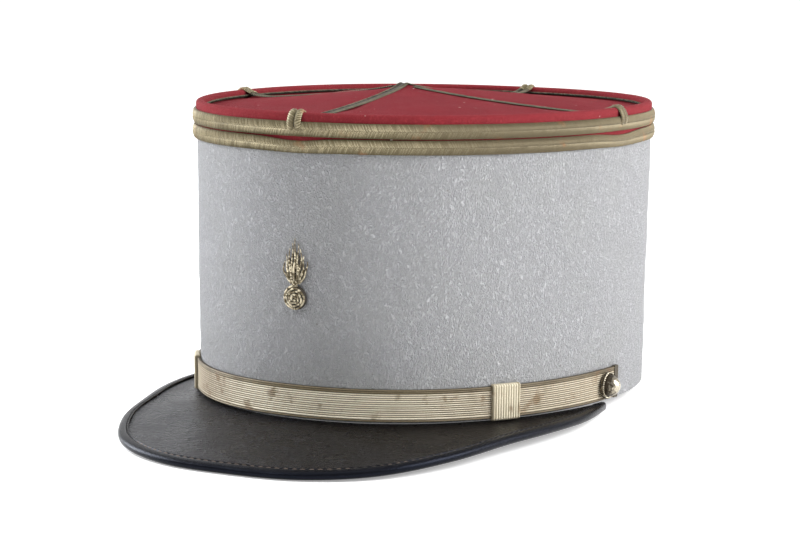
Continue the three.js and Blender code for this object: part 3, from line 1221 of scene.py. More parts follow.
class LaidStrands(GeometryTree):
    """Repeats one strand at an even pitch along a path and bends each copy to follow it."""

    def __init__(self) -> None:
        """Builds the tree."""
        super().__init__(
            "laid_strands",
            {
                "Strand": "NodeSocketObject",
                "Pitch": "NodeSocketFloat",
                "Loop": "NodeSocketBool",
                "Wander": "NodeSocketFloat",
                "Seed": "NodeSocketInt",
                "Material": "NodeSocketMaterial",
            },
        )
        graph = self.graph
        curve = graph.add("GeometryNodeMeshToCurve", None, {"Mesh": self.given.outputs[0]})
        line = curve.outputs[0]
        length = graph.signal(graph.add("GeometryNodeCurveLength", None, {0: line}))
        count = graph.math("MAXIMUM", graph.math("ROUND", length / self.read("Pitch")), 1.0)
        step = length / count
        first = graph.add("ShaderNodeCombineXYZ", None, {"X": step * 0.5})
        offset = graph.add("ShaderNodeCombineXYZ", None, {"X": step})
        row = graph.add(
            "GeometryNodeMeshLine",
            {"mode": "OFFSET"},
            {"Count": count, "Start Location": first.outputs[0], "Offset": offset.outputs[0]},
        )
        strand = graph.add("GeometryNodeObjectInfo", None, {"Object": self.read("Strand")})
        wander = self.read("Wander")
        turn = self._random("FLOAT_VECTOR", (-1.0, -1.0, -1.0), (1.0, 1.0, 1.0), 1)
        copies = graph.add(
            "GeometryNodeInstanceOnPoints",
            None,
            {
                "Points": row.outputs[0],
                "Instance": strand.outputs["Geometry"],
                "Rotation": graph.scaled(turn, wander),
            },
        )
        shaded = graph.add(
            "GeometryNodeStoreNamedAttribute",
            {"data_type": "FLOAT", "domain": "INSTANCE"},
            {
                "Geometry": copies.outputs[0],
                "Name": "shade",
                "Value": self._random("FLOAT", 0.0, 1.0, 2),
            },
        )
        real = graph.add("GeometryNodeRealizeInstances", None, {0: shaded.outputs[0]})
        position = graph.add("GeometryNodeInputPosition").outputs[0]
        place = graph.add("ShaderNodeSeparateXYZ", None, {0: position})
        x, y, z = (graph.signal(place, axis) for axis in "XYZ")
        wrapped = graph.math("FLOORED_MODULO", x, length)
        along = graph.add(
            "GeometryNodeSwitch",
            {"input_type": "FLOAT"},
            {"Switch": self.read("Loop"), "False": x, "True": wrapped},
        )
        side = self._sampled(line, "side", "FLOAT_VECTOR", along.outputs[0])
        face = self._sampled(line, "face", "FLOAT_VECTOR", along.outputs[0])
        size = graph.signal(self._sampled(line, "size", "FLOAT", along.outputs[0]), "Value")
        beside = graph.scaled(side.outputs["Value"], y * size)
        above = graph.scaled(face.outputs["Value"], z * size)
        spot = graph.vector("ADD", side.outputs["Position"], graph.vector("ADD", beside, above))
        bent = graph.add("GeometryNodeSetPosition", None, {0: real.outputs[0], "Position": spot})
        self.finish(bent.outputs[0])

    def _random(self, kind: str, low: Any, high: Any, salt: int) -> Signal:
        """A random value for each copy, from the tree's seed."""
        node = self.graph.add("FunctionNodeRandomValue", {"data_type": kind})
        vector = kind == "FLOAT_VECTOR"
        node.inputs[0 if vector else 2].default_value = low
        node.inputs[1 if vector else 3].default_value = high
        self.graph.tree.links.new((self.read("Seed") * 10.0 + salt).socket, node.inputs["Seed"])
        return self.graph.signal(node, 0 if vector else 1)

    def _sampled(
        self, line: bpy.types.NodeSocket, name: str, kind: str, along: bpy.types.NodeSocket
    ) -> bpy.types.Node:
        """Reads the path and one of its attributes at a distance along it."""
        stored = self.graph.add(
            "GeometryNodeInputNamedAttribute", {"data_type": kind}, {"Name": name}
        )
        return self.graph.add(
            "GeometryNodeSampleCurve",
            {"mode": "LENGTH", "data_type": kind},
            {"Curves": line, "Value": stored.outputs[0], "Length": along},
        )

    def lay(
        self,
        path: Path,
        strand: bpy.types.Object,
        pitch: float,
        material: bpy.types.Material,
        seed: int,
        wander: float = 0.06,
    ) -> bpy.types.Object:
        """Lays copies of a strand along a path.

        Args:
            path: Where they lie.
            strand: One strand, drawn with X along the path, Y to the side and Z away from it.
            pitch: Distance between two copies.
            material: Their material.
            seed: Seed of their small differences.
            wander: How far a copy may be turned, in radians.

        Returns:
            The strands as one object.
        """
        return self.apply(
            path.carrier(),
            "strands",
            Strand=strand,
            Pitch=pitch,
            Loop=path.loop,
            Wander=wander,
            Seed=seed,
            Material=material,
        )


class RoundCords(GeometryTree):
    """Gives the lines of a mesh a round section."""

    def __init__(self) -> None:
        """Builds the tree."""
        super().__init__(
            "round_cords", {"Sides": "NodeSocketInt", "Material": "NodeSocketMaterial"}
        )
        graph = self.graph
        curve = graph.add("GeometryNodeMeshToCurve", None, {"Mesh": self.given.outputs[0]})
        size = graph.add(
            "GeometryNodeInputNamedAttribute", {"data_type": "FLOAT"}, {"Name": "size"}
        )
        ring = graph.add(
            "GeometryNodeCurvePrimitiveCircle",
            None,
            {"Resolution": self.read("Sides"), "Radius": 1.0},
        )
        round_line = graph.add(
            "GeometryNodeCurveToMesh",
            None,
            {
                "Curve": curve.outputs[0],
                "Profile Curve": ring.outputs[0],
                "Scale": size.outputs[0],
                "Fill Caps": True,
            },
        )
        real = graph.add("GeometryNodeRealizeInstances", None, {0: round_line.outputs[0]})
        self.finish(real.outputs[0])

    def draw(
        self,
        lines: Sequence[Array],
        radius: float | Sequence[float],
        shades: Sequence[float],
        material: bpy.types.Material,
        sides: int = 6,
    ) -> bpy.types.Object:
        """Draws a round cord along each line.

        Args:
            lines: Points of each cord's middle.
            radius: The cords' radius, or one for each cord.
            shades: A tone from 0 to 1 for each cord.
            material: Their material.
            sides: Sides of the section.

        Returns:
            The cords as one object.
        """
        radii = [radius] * len(lines) if isinstance(radius, float) else list(radius)
        points = np.concatenate(lines)
        edges, first = [], 0
        for line in lines:
            edges += [(first + i, first + i + 1) for i in range(len(line) - 1)]
            first += len(line)
        mesh = bpy.data.meshes.new("lines")
        mesh.from_pydata(points.tolist(), edges, [])
        for key, values in (("size", radii), ("shade", shades)):
            pairs = zip(lines, values)
            store(mesh, key, np.concatenate([np.full(len(line), value) for line, value in pairs]))
        return self.apply(placed("lines", mesh), "cords", Sides=sides, Material=material)


class Toolbox:
    """The geometry trees and the strands that they repeat."""

    FLATNESS = 0.8

    def __init__(self) -> None:
        """Builds the trees and the strands."""
        self.laid = LaidStrands()
        self.cords = RoundCords()
        self.templates: list[bpy.types.Object] = []

    def strand(
        self,
        name: str,
        half_width: float,
        rise: float,
        slant: float,
        thick: float,
        sides: int = 5,
        steps: int = 7,
        glint_side: int = 0,
    ) -> bpy.types.Object:
        """Draws a thread that crosses a rounded lane at a slant.

        Args:
            name: The thread's name.
            half_width: Half the lane's width.
            rise: Height of the lane's middle.
            slant: How far the thread moves along the lane between its ends.
            thick: Radius of the thread.
            sides: Sides of its section.
            steps: Points of its line.
            glint_side: 1 or -1 for the side of the lane that gets a painted highlight; the other side
                fades to painted shade.

        Returns:
            The thread, for a tree to repeat.
        """
        share = np.linspace(-1.0, 1.0, steps)
        angle = share * math.radians(80)
        line = np.stack(
            [share * slant / 2, half_width * np.sin(angle), rise * (np.cos(angle) - 0.15)], axis=-1
        )
        radii = thick * (1.0 - 0.45 * np.abs(share) ** 3)
        thread = tube(line, radii, sides, self.FLATNESS)
        if glint_side:
            rub = np.clip(0.5 + 0.5 * glint_side * share, 0, 1)
            thread.numbers["rub"] = np.concatenate([np.repeat(rub, sides), rub[[0, -1]]])
        piece = thread.build(name, None)
        self.templates.append(piece)
        return piece

    def coil(self, name: str, radius: float, wire: float, pitch: float) -> bpy.types.Object:
        """Draws one turn of a wire wound round a path.

        Args:
            name: The turn's name.
            radius: Radius of the winding.
            wire: Radius of the wire.
            pitch: Distance between two turns.

        Returns:
            The turn, for a tree to repeat.
        """
        angle = np.linspace(0, 2 * math.pi, 10, endpoint=False)
        side = np.linspace(0, 2 * math.pi, 4, endpoint=False)
        width = radius + wire * np.cos(side)[None, :]
        lean = 0.35 * pitch * np.sin(angle)[:, None]
        x = lean + 0.62 * pitch * np.sin(side)[None, :]
        y = width * np.cos(angle)[:, None]
        z = width * np.sin(angle)[:, None]
        piece = Shell.swept(np.stack([x, y, z], axis=-1), loop=True).build(name, None, 180.0)
        self.templates.append(piece)
        return piece

    def clear(self) -> None:
        """Removes the strands once everything is laid."""
        for piece in self.templates:
            bpy.data.objects.remove(piece)
        self.templates.clear()


# ---- Sub-assemblies --------------------------------------------------------------------------


@dataclass
class SubAssembly:
    """What every sub-assembly of the cap is built with."""

    form: CapForm
    wardrobe: Wardrobe
    tools: Toolbox

    def hand_over(self, piece: bpy.types.Object, node: str, slot: Slot) -> None:
        """Puts a finished piece in the place of its plain solid.

        Args:
            piece: The finished piece.
            node: Name of the solid that it stands for.
            slot: Material slot of the solid; not used.
        """
        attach(piece, "root")
        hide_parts(node)
        LOG.info("%s: %d faces", piece.name, len(piece.data.polygons))


@dataclass
class Crown(SubAssembly):
    """The stiff felt wall, open below."""

    rows: int = 560
    levels: int = 100
    inner_levels: int = 26
    corner: float = 0.7 * MM

    def build(self) -> None:
        """Builds the wall: a crinkled outer face, rounded edges and a plain inner face."""
        form = self.form
        turn = form.even_turns(self.rows + 1)[:-1]
        top = form.crown_top
        outer = np.linspace(self.corner, top - self.corner, self.levels)
        inner = np.linspace(top - self.corner, self.corner, self.inner_levels)
        bend, wall = np.radians([22.5, 67.5]), form.felt_wall
        drop, inset = self.corner * (1 - np.sin(bend)), self.corner * (1 - np.cos(bend))
        levels = np.concatenate([outer, top - drop, top - drop[::-1], inner, drop, drop[::-1]])
        outs = [0 * outer, -inset, inset[::-1] - wall, 0 * inner - wall, inset - wall, -inset[::-1]]
        points = form.wall(turn[:, None], levels[None, :], np.concatenate(outs)[None, :])
        facing = form.outwards(turn[:, None], levels[None, :])
        moved = rippled(points, facing, [(26 * MM, 0.35 * MM), (5 * MM, 0.16 * MM)])
        low = levels[None, :, None] < 3 * self.corner
        points = np.where(low, points, moved)
        wall = Shell.swept(points, loop=True).build("crown_felt_wall", self.wardrobe.blue, 60.0)
        self.hand_over(wall, "crown_felt", Slot.FELT_BLUE)


@dataclass
class RedHead(SubAssembly):
    """The red top: a rounded rim, a disc drawn up to a low peak, and a cord round the disc."""

    rim_wall: float = 3.0 * MM
    rim_crest: float = 114.5 * MM
    rim_bulge: float = 0.25 * MM
    recess: float = 3.5 * MM
    disc_wall: float = 2.0 * MM
    peak_x: float = -5.0 * MM
    peak_y: float = -9.0 * MM
    peak_rise: float = 5.9 * MM
    sag: float = 0.72
    pucker: float = 0.85 * MM
    pucker_width: float = 5.0 * MM
    cord_radius: float = 0.6 * MM
    core_share: float = 0.72

    @property
    def foot(self) -> float:
        """Level of the disc's edge."""
        return self.rim_crest - self.recess

    @property
    def peak(self) -> Array:
        """Highest point of the disc, on the upright cap.

        Returns:
            The point.
        """
        form = self.form
        forward = self.rim_crest * math.tan(form.wall_lean)
        height = self.rim_crest + self.peak_rise + form.head_rise * self.peak_y
        return np.array([self.peak_x, self.peak_y - forward, height])

    def disc_point(self, turn: Array, share: Array) -> Array:
        """Point of the disc's upper face, on the upright cap.

        Args:
            turn: Turn round the oval.
            share: Share of the way from the peak to the edge.

        Returns:
            The points.
        """
        turn, share = together(turn, share)
        edge = self.form.upright(turn, self.foot, -self.rim_wall - self.form.gap)
        point = self.peak + (edge - self.peak) * share[..., None]
        lift = share**self.sag
        point[..., 2] = self.peak[2] + (edge[..., 2] - self.peak[2]) * lift
        reach = np.linalg.norm((edge - self.peak)[..., :2], axis=-1) * share
        quarter = math.pi / 2
        aside = reach * np.sin(turn - np.round(turn / quarter) * quarter)
        drawn = np.exp(-((aside / self.pucker_width) ** 2)) - 0.5
        point[..., 2] -= self.pucker * drawn * np.sin(math.pi * np.clip(share, 0, 1))
        return point

    def build(self) -> None:
        """Builds the rim, the disc and the cord."""
        self._rim()
        self._disc()
        self._cord()

    def _rim(self) -> None:
        """Builds the rounded rim behind the braids."""
        form, radius = self.form, self.rim_wall / 2
        turn = form.even_turns(721)[:-1]
        foot = form.crown_top + form.gap
        angle = np.linspace(0, math.pi, 15)
        bulge = self.rim_bulge
        outs = -radius + (radius + bulge) * np.cos(angle)
        levels = self.rim_crest - radius + radius * np.sin(angle)
        rise = np.linspace(0, 1, 9)[:-1]
        head = levels[0] - foot
        inside = -self.rim_wall - bulge * rise[::-1]
        outs = np.concatenate([bulge * rise, outs, inside])
        levels = np.concatenate([foot + head * rise, levels, foot + head * rise[::-1]])
        points = form.wall(turn[:, None], levels[None, :], outs[None, :])
        facing = form.outwards(turn[:, None], levels[None, :])
        points = rippled(points, facing, [(18 * MM, 0.3 * MM), (3 * MM, 0.1 * MM)])
        rim = Shell.swept(points, loop=True).build("top_rim_roll", self.wardrobe.red, 60.0)
        self.hand_over(rim, "top_rim", Slot.FELT_RED)

    def _disc(self) -> None:
        """Builds the disc, with the faint folds that its cloth is drawn into."""
        form = self.form
        turn = form.even_turns(321)[:-1]
        share = np.linspace(0.03, 1.0, 46)
        face = self.disc_point(turn[:, None], share[None, :])
        up = np.zeros_like(face)
        up[..., 2] = 1.0
        calm = np.sin(np.pi * np.clip(share, 0, 1))[None, :, None]
        waved = rippled(face, up, [(34 * MM, 1.3 * MM), (9 * MM, 0.22 * MM)])
        face = face + (waved - face) * calm
        under = face - up * self.disc_wall
        pit = self.peak - np.array([0.0, 0.0, self.disc_wall])
        shell = Shell.lens(form.seat(face), form.seat(under), form.seat(self.peak), form.seat(pit))
        disc = shell.build("top_disc_cloth", self.wardrobe.disc_red, 60.0)
        self.hand_over(disc, "top_disc", Slot.FELT_RED)

    def _cord(self) -> None:
        """Builds the twisted cord in the corner between the disc and the rim."""
        form, radius = self.form, self.cord_radius
        turn = form.even_turns(481)[:-1]
        out = -self.rim_wall - form.gap - radius
        middle = form.wall(turn, self.foot + form.gap + radius, out)
        side = form.outwards(turn, np.full_like(turn, self.foot))
        face = form.upwards(turn, np.full_like(turn, self.foot))
        angle = np.linspace(0, 2 * math.pi, 8, endpoint=False)
        section = ring(side, face, angle) * radius * self.core_share
        core = Shell.swept(middle[:, None] + section, loop=True)
        core_piece = core.build("core", self.wardrobe.soutache, 180.0)
        path = Path(middle, side, face, loop=True)
        # Each ply gets a painted highlight on its side towards the rim.
        ply = self.tools.strand(
            "ply", radius * 0.85, radius * 0.85, 1.5 * MM, 0.3 * MM, glint_side=1
        )
        plies = self.tools.laid.lay(path, ply, 0.85 * MM, self.wardrobe.soutache, seed=3)
        cord = merged("disc_cord_twist", [core_piece, plies])
        self.hand_over(cord, "disc_cord", Slot.SOUTACHE_DARK)


@dataclass
class Braids(SubAssembly):
    """Two flat braids round the head of the wall, each plaited over two cores."""

    width: float = 5.45 * MM
    space: float = 0.4 * MM
    swell: float = 0.75 * MM
    ridge: float = 0.38 * MM
    tilt: float = math.radians(15)
    pinch_drop: float = 1.2 * MM
    pinch_turn: float = math.radians(7)
    pitch: float = 0.5 * MM

    def pinch(self, turn: Array) -> Array:
        """Works out where the soutaches push the lower braid down.

        Args:
            turn: Turns round the oval.

        Returns:
            How strongly, from 0 to 1.
        """
        quarter = math.pi / 2
        away = np.abs(turn - np.round(turn / quarter) * quarter)
        return np.exp(-((away / self.pinch_turn) ** 2))

    def build(self) -> None:
        """Builds the upper and the lower braid."""
        top = self.form.braid_top
        lower_top = top - self.width - self.space
        turn = self.form.even_turns(541)[:-1]
        pinch = self.pinch(turn) * self.pinch_drop
        level = np.zeros_like(turn)
        self._braid("upper_braid", turn, top + level, top - self.width + level, 11)
        self._braid(
            "lower_braid", turn, lower_top - pinch, lower_top - self.width - 0.3 * pinch, 12
        )

    def _braid(self, node: str, turn: Array, high: Array, low: Array, seed: int) -> None:
        """Builds one braid.

        Args:
            node: Name of the solid that it stands for.
            turn: Turns round the oval.
            high: Level of its upper edge at each turn.
            low: Level of its lower edge at each turn.
            seed: Seed of the strands' small differences.
        """
        form, gap = self.form, self.form.gap
        height = (high - low)[:, None]
        bulge = np.sin(np.linspace(0, math.pi, 7)) * self.ridge * 0.8
        share = 0.25 - 0.24 * np.cos(np.linspace(0, math.pi, 7))
        shares = np.concatenate([[0.0], share, share + 0.5, [1.0]])
        outs = np.concatenate([[0.0], bulge, bulge, [0.0]]) + gap + 0.2 * MM
        outs = outs + self.swell * np.sin(math.pi * shares)
        outs[0] = outs[-1] = gap
        levels = low[:, None] + height * shares[None, :]
        core = Shell.swept(form.wall(turn[:, None], levels, outs[None, :]), loop=True)
        pieces = [core.build("core", self.wardrobe.braid, 50.0)]
        lane = self.width / 4
        for share_up, hand in ((0.25, 1), (0.75, -1)):
            middle = low + (high - low) * share_up
            up, out = form.upwards(turn, middle), form.outwards(turn, middle)
            cos, sin = math.cos(self.tilt), math.sin(self.tilt) * -hand
            path = Path(
                form.wall(turn, middle, gap + 0.2 * MM + self.swell * 0.66),
                up * cos - out * sin,
                out * cos + up * sin,
                (high - low) / self.width,
                loop=True,
            )
            # glint_side paints a highlight on each lane's side towards the braid's middle, and
            # painted shade towards its edges.
            strand = self.tools.strand(
                "plait",
                lane * 1.02,
                self.ridge,
                hand * 1.5 * MM,
                0.21 * MM,
                sides=4,
                steps=5,
                glint_side=hand,
            )
            pieces.append(
                self.tools.laid.lay(
                    path, strand, self.pitch, self.wardrobe.braid, seed=seed * 2 + hand
                )
            )
        self.hand_over(merged(f"{node}_plait", pieces), node, Slot.GOLD_BRAID)


@dataclass
class Route:
    """Underside of a soutache, and where it lies on the disc rather than on the rim."""

    points: Array
    faces: Array
    sizes: Array
    on_disc: Array

    @classmethod
    def smooth(cls, points: Array, faces: Array, sizes: Array, on_disc: Array) -> "Route":
        """Rounds the corners of a route and spaces its points evenly.

        Args:
            points: Points of the route.
            faces: Directions that the upper face looks in.
            sizes: Width as a share of the full one.
            on_disc: 1 on the disc and 0 on the rim.

        Returns:
            The smooth route.
        """
        along = travelled(points)
        even = np.linspace(0.0, along[-1], int(along[-1] / (0.5 * MM)))
        table = np.concatenate([points, faces, sizes[:, None], on_disc[:, None]], axis=1)
        spread = np.stack([np.interp(even, along, column) for column in table.T], axis=1)
        for _ in range(3):
            spread[1:-1] = (spread[:-2] + 2 * spread[1:-1] + spread[2:]) / 4
        return cls(spread[:, :3], unit(spread[:, 3:6]), spread[:, 6], spread[:, 7])

    def onwards(self, other: "Route") -> "Route":
        """This route, followed by another one from its end to its start."""
        pairs = zip(vars(self).values(), vars(other).values())
        return Route(*(np.concatenate([mine, its[::-1][1:]]) for mine, its in pairs))

    def runs(self, on_disc: bool) -> list[slice]:
        """Finds stretches of the route.

        Args:
            on_disc: Whether those on the disc are wanted, or else those on the rim.

        Returns:
            Their places in the route's arrays.
        """
        chosen = (self.on_disc > 0.5) == on_disc
        edges = np.flatnonzero(np.diff(np.concatenate([[0], chosen.astype(int), [0]])))
        return [slice(start, min(end + 1, len(chosen))) for start, end in edges.reshape(-1, 2)]


@dataclass
class Soutaches(SubAssembly):
    """Four arms of narrow braid that climb the rim and meet over the disc's peak."""

    head: RedHead
    lane: float = 1.42 * MM
    loop_ridge: float = 0.95 * MM
    arm_ridge: float = 0.62 * MM
    arm_size: float = 0.66
    braid_width: float = 5.45 * MM
    braid_ridge: float = 1.3 * MM
    pitch: float = 0.85 * MM

    def build(self) -> None:
        """Builds the long soutache and the two that end beside it."""
        self._soutache("soutache_long", self._route(0.0, 0.0).onwards(self._route(180.0, 0.0)), 31)
        for side in Side:
            route = self._route(side.value * 90.0, 0.055)
            self._soutache(f"soutache_{side.word}", route, 33 + side.value)

    def _route(self, degrees: float, last_share: float) -> Route:
        """Route of a soutache's underside from the upper braid to the disc's peak.

        Args:
            degrees: Turn that it climbs the rim at.
            last_share: Share of the way from the disc's peak where it ends.

        Returns:
            The route.
        """
        form, head = self.form, self.head
        turn = math.radians(degrees)
        facing = form.facing(np.array(turn), np.array(head.rim_crest))
        upright = np.array([0.0, 0.0, 1.0])
        stand = 0.1 * MM
        over_braid = form.gap + self.braid_ridge + stand
        points, faces, sizes, on_disc = [], [], [], []

        def add(point: Array, face: Array, size: float, disc: float = 0.0) -> None:
            """Adds one point of the route.

            Args:
                point: The point.
                face: Direction that the upper face looks in.
                size: Width as a share of the full one.
                disc: 1 on the disc and 0 on the rim.
            """
            points.append(np.asarray(point, float))
            faces.append(unit(np.asarray(face, float)))
            sizes.append(size)
            on_disc.append(disc)

        top = form.braid_top
        add(form.upright(turn, top - 0.56 * self.braid_width, form.gap + 0.5 * MM), facing, 0.9)
        add(form.upright(turn, top - 0.4 * self.braid_width, over_braid - 0.3 * MM), facing, 1.0)
        add(form.upright(turn, top - 0.2 * MM, over_braid), facing, 1.0)
        add(form.upright(turn, top + 1.5 * MM, 0.9 * MM), facing, 1.0)
        radius = head.rim_wall / 2 + form.gap
        centre = form.upright(turn, head.rim_crest - head.rim_wall / 2, -head.rim_wall / 2)
        for i in range(1, 6):
            angle = i / 6 * math.pi
            face = facing * math.cos(angle) + upright * math.sin(angle)
            add(centre + face * radius, face, 1.0)
        over_cord = head.foot + 2 * form.gap + 2 * head.cord_radius
        step_in = form.upright(turn, over_cord + 0.9 * MM, -head.rim_wall - form.gap - 0.2 * MM)
        add(step_in, upright - facing, 0.95)
        for share in np.linspace(0.945, last_share, 24):
            spot = head.disc_point(turn, share)
            near_edge = float(np.clip((share - 0.88) / 0.06, 0, 1))
            wide = float(np.clip((share - 0.8) / 0.14, 0, 1))
            size = self.arm_size + (0.93 - self.arm_size) * wide
            add(spot + upright * (stand + near_edge * 1.0 * MM), upright, size, 1.0)
        seated = form.seat(np.array(points))
        looks = form.turned(np.array(faces))
        return Route.smooth(seated, looks, np.array(sizes), np.array(on_disc))

    def _soutache(self, node: str, route: Route, seed: int) -> None:
        """Builds one soutache: a near-black web, painted shade between the cords, and two plaited
        cords, brighter on the rim.

        Args:
            node: Name of the solid that it stands for.
            route: Its underside.
            seed: Seed of the strands' small differences.
        """
        points, sizes = route.points, route.sizes
        along = unit(np.gradient(points, axis=0))
        side = unit(np.cross(along, route.faces))
        square = np.cross(side, along)
        # The web is a near-black sheet: painted shade in the gap between the two cords.
        web_out = np.array([1.0, 1.0, -1.0, -1.0]) * self.lane
        web_up = np.array([0.0, 0.15, 0.15, 0.0]) * MM
        web = points[:, None] + side[:, None] * web_out[None, :, None]
        web = web + square[:, None] * web_up[None, :, None]
        pieces = [Shell.swept(web, loop=False).build("web", self.wardrobe.backing, 50.0)]
        angle = np.linspace(0, math.pi, 9)
        half = self.lane * 0.94
        finishes = (
            (False, self.loop_ridge, self.wardrobe.braid),
            (True, self.arm_ridge, self.wardrobe.soutache),
        )
        for on_disc, ridge, cloth in finishes:
            for run in route.runs(on_disc):
                for hand in (1, -1):
                    middle = (points + side * (hand * self.lane))[run]
                    across = np.cos(angle)[None, :] * half * sizes[run, None]
                    up = np.sin(angle)[None, :] * ridge * 0.85 * sizes[run, None]
                    lane = middle[:, None] + side[run, None] * across[..., None]
                    lane = lane + square[run, None] * up[..., None]
                    pieces.append(Shell.swept(lane, loop=False).build("core", cloth, 50.0))
                    # glint_side paints a highlight on each cord's outer side and painted shade on its
                    # side towards the web.
                    ply = self.tools.strand(
                        "ply", half, ridge, hand * 1.6 * MM, 0.27 * MM, glint_side=hand
                    )
                    path = Path(middle, side[run], square[run], sizes[run])
                    pieces.append(
                        self.tools.laid.lay(path, ply, self.pitch, cloth, seed=seed * 2 + hand)
                    )
        self.hand_over(merged(f"{node}_plait", pieces), node, Slot.SOUTACHE_DARK)


@dataclass
class ChinStrap(SubAssembly):
    """The dress chin strap of ribbed tape, its two slides and its two buttons.

    Each row of ribs, borders and button_foot is a table row: level, radius and tone for a cord,
    in millimetres, and share of the radius, height in millimetres and depth of patina for a button.
    """

    low: float = 0.8 * MM
    high: float = 13.0 * MM
    thick: float = 1.3 * MM
    reach: float = math.radians(91)
    keeper_turn: float = math.radians(53.5)
    keeper_half: float = math.radians(3.65)
    keeper_low: float = 0.1 * MM
    keeper_high: float = 13.7 * MM
    keeper_wall: float = 0.8 * MM
    keeper_ribs: int = 11
    keeper_edge: float = 0.25 * MM
    keeper_lip: float = 0.4 * MM
    rib_radius: float = 0.48 * MM
    first_rib: tuple[float, float, float] = (2.1, 0.41, 0.8)
    borders: tuple[tuple[float, float, float], ...] = (
        (1.2, 0.4, 0.3),
        (11.85, 0.36, 0.3),
        (12.55, 0.42, 0.0),
    )
    button_turn: float = math.radians(86)
    button_level: float = 6.7 * MM
    button_radius: float = 5.3 * MM
    button_height: float = 5.6 * MM
    button_sides: int = 64
    button_foot: tuple[tuple[float, float, float], ...] = (
        (0.97, 0.0, 0.0),
        (1.0, 0.35, 0.5),
        (0.985, 0.8, 0.4),
        (0.93, 1.05, 0.5),
        (0.87, 0.95, 0.55),
        (0.835, 0.8, 1.0),
    )
    dome_share: float = 0.8
    dome_foot: float = 0.9 * MM
    rope_share: float = 0.93
    rope_rise: float = 0.85 * MM

    def build(self) -> None:
        """Builds the strap, the slides and the buttons."""
        self._strap()
        for side in Side:
            self._keeper(side)
            self._button(side)

    def _strap(self) -> None:
        """Builds the tape: a dark ground, bright ribs and duller borders."""
        form = self.form
        turn = form.even_turns(441, -self.reach, self.reach)
        back, face = form.gap, form.gap + self.thick - 0.55 * MM
        outs = np.array([back, face, face, back])
        levels = np.array([self.low, self.low, self.high, self.high])
        ground = Shell.swept(form.wall(turn[:, None], levels[None, :], outs[None, :]), loop=False)
        pieces = [ground.build("ground", self.wardrobe.ground, 30.0)]
        ribs = [self.first_rib]
        ribs += [(3.0 + 0.8 * i, 0.3, 0.4 + 0.5 * (i % 2)) for i in range(11)]
        for rows, cloth in ((ribs, self.wardrobe.tape), (self.borders, self.wardrobe.border)):
            heights, radii, shades = np.array(rows).T
            lines = [form.wall(turn, height * MM, face + 0.08 * MM) for height in heights]
            pieces.append(self.tools.cords.draw(lines, radii * MM, shades, cloth, 6))
        for side in Side:
            tip = side.value * np.linspace(self.reach - math.radians(1.3), self.reach, 4)
            outs = np.array([back, face + 0.6 * MM, face + 0.6 * MM, back])
            edge = np.array([-0.25, -0.25, 0.25, 0.25]) * MM + levels
            fold = form.wall(tip[:, None], edge[None, :], outs[None, :])
            pieces.append(Shell.swept(fold, loop=False).build("fold", self.wardrobe.ground, 30.0))
        self.hand_over(merged("chin_strap_tape", pieces), "chin_strap", Slot.STRAP_GOLD)

    def _keeper(self, side: Side) -> None:
        """Builds a slide, whose ribs run over the strap and round its edges.

        Args:
            side: Side of the cap that it is on.
        """
        form, gap = self.form, self.form.gap
        centre = side.value * self.keeper_turn
        slot = 2 * gap + self.thick
        edge, lip = self.keeper_edge, self.keeper_lip
        face = slot + self.keeper_wall - lip
        low, high = self.keeper_low + edge, self.keeper_high - edge
        body = [(gap, low), (face - 0.3 * MM, low), (face, low + lip), (face, high - lip)]
        body += [(face - 0.3 * MM, high), (gap, high), (gap, high - lip), (slot, high - lip)]
        body += [(slot, low + lip), (gap, low + lip)]
        outs, levels = np.array(body).T
        turn = np.linspace(centre - self.keeper_half, centre + self.keeper_half, 13)
        skin = Shell.swept(form.wall(turn[:, None], levels[None, :], outs[None, :]), loop=False)
        cloth = self.wardrobe.slide_tape
        pieces = [skin.build("body", cloth, 30.0)]
        rib = [(gap + 0.4 * MM, low), (face - 0.5 * MM, low), (face, low + lip)]
        flat = np.linspace(low + 2 * lip, high - 2 * lip, 5)
        rib += [(face - 0.08 * MM, level) for level in flat]
        rib += [(face, high - lip), (face - 0.5 * MM, high), (gap + 0.4 * MM, high)]
        outs, levels = np.array(rib).T
        spread = np.linspace(-0.92, 0.92, self.keeper_ribs) * self.keeper_half + centre
        lines = [form.wall(place, levels, outs) for place in spread]
        shades = [0.85] * self.keeper_ribs
        shades[0] = shades[-1] = 0.25
        pieces.append(self.tools.cords.draw(lines, self.rib_radius, shades, cloth, 8))
        node = f"keeper_{side.word}"
        self.hand_over(merged(f"{node}_tape", pieces), node, Slot.STRAP_GOLD)

    def _button(self, side: Side) -> None:
        """Builds a domed button with a plain rope border round its foot.

        Args:
            side: Side of the cap that it is on.
        """
        out = 3 * self.form.gap + self.thick
        spot = self.form.spot(side.value * self.button_turn, self.button_level, out)
        radius, height, low = self.button_radius, self.button_height, self.dome_foot
        rise = np.linspace(0, math.pi / 2, 18)[:-1]
        dome = np.zeros((len(rise), 3))
        dome[:, 0] = self.dome_share * radius * np.cos(rise)
        dome[:, 1] = low + (height - low) * np.sin(rise)
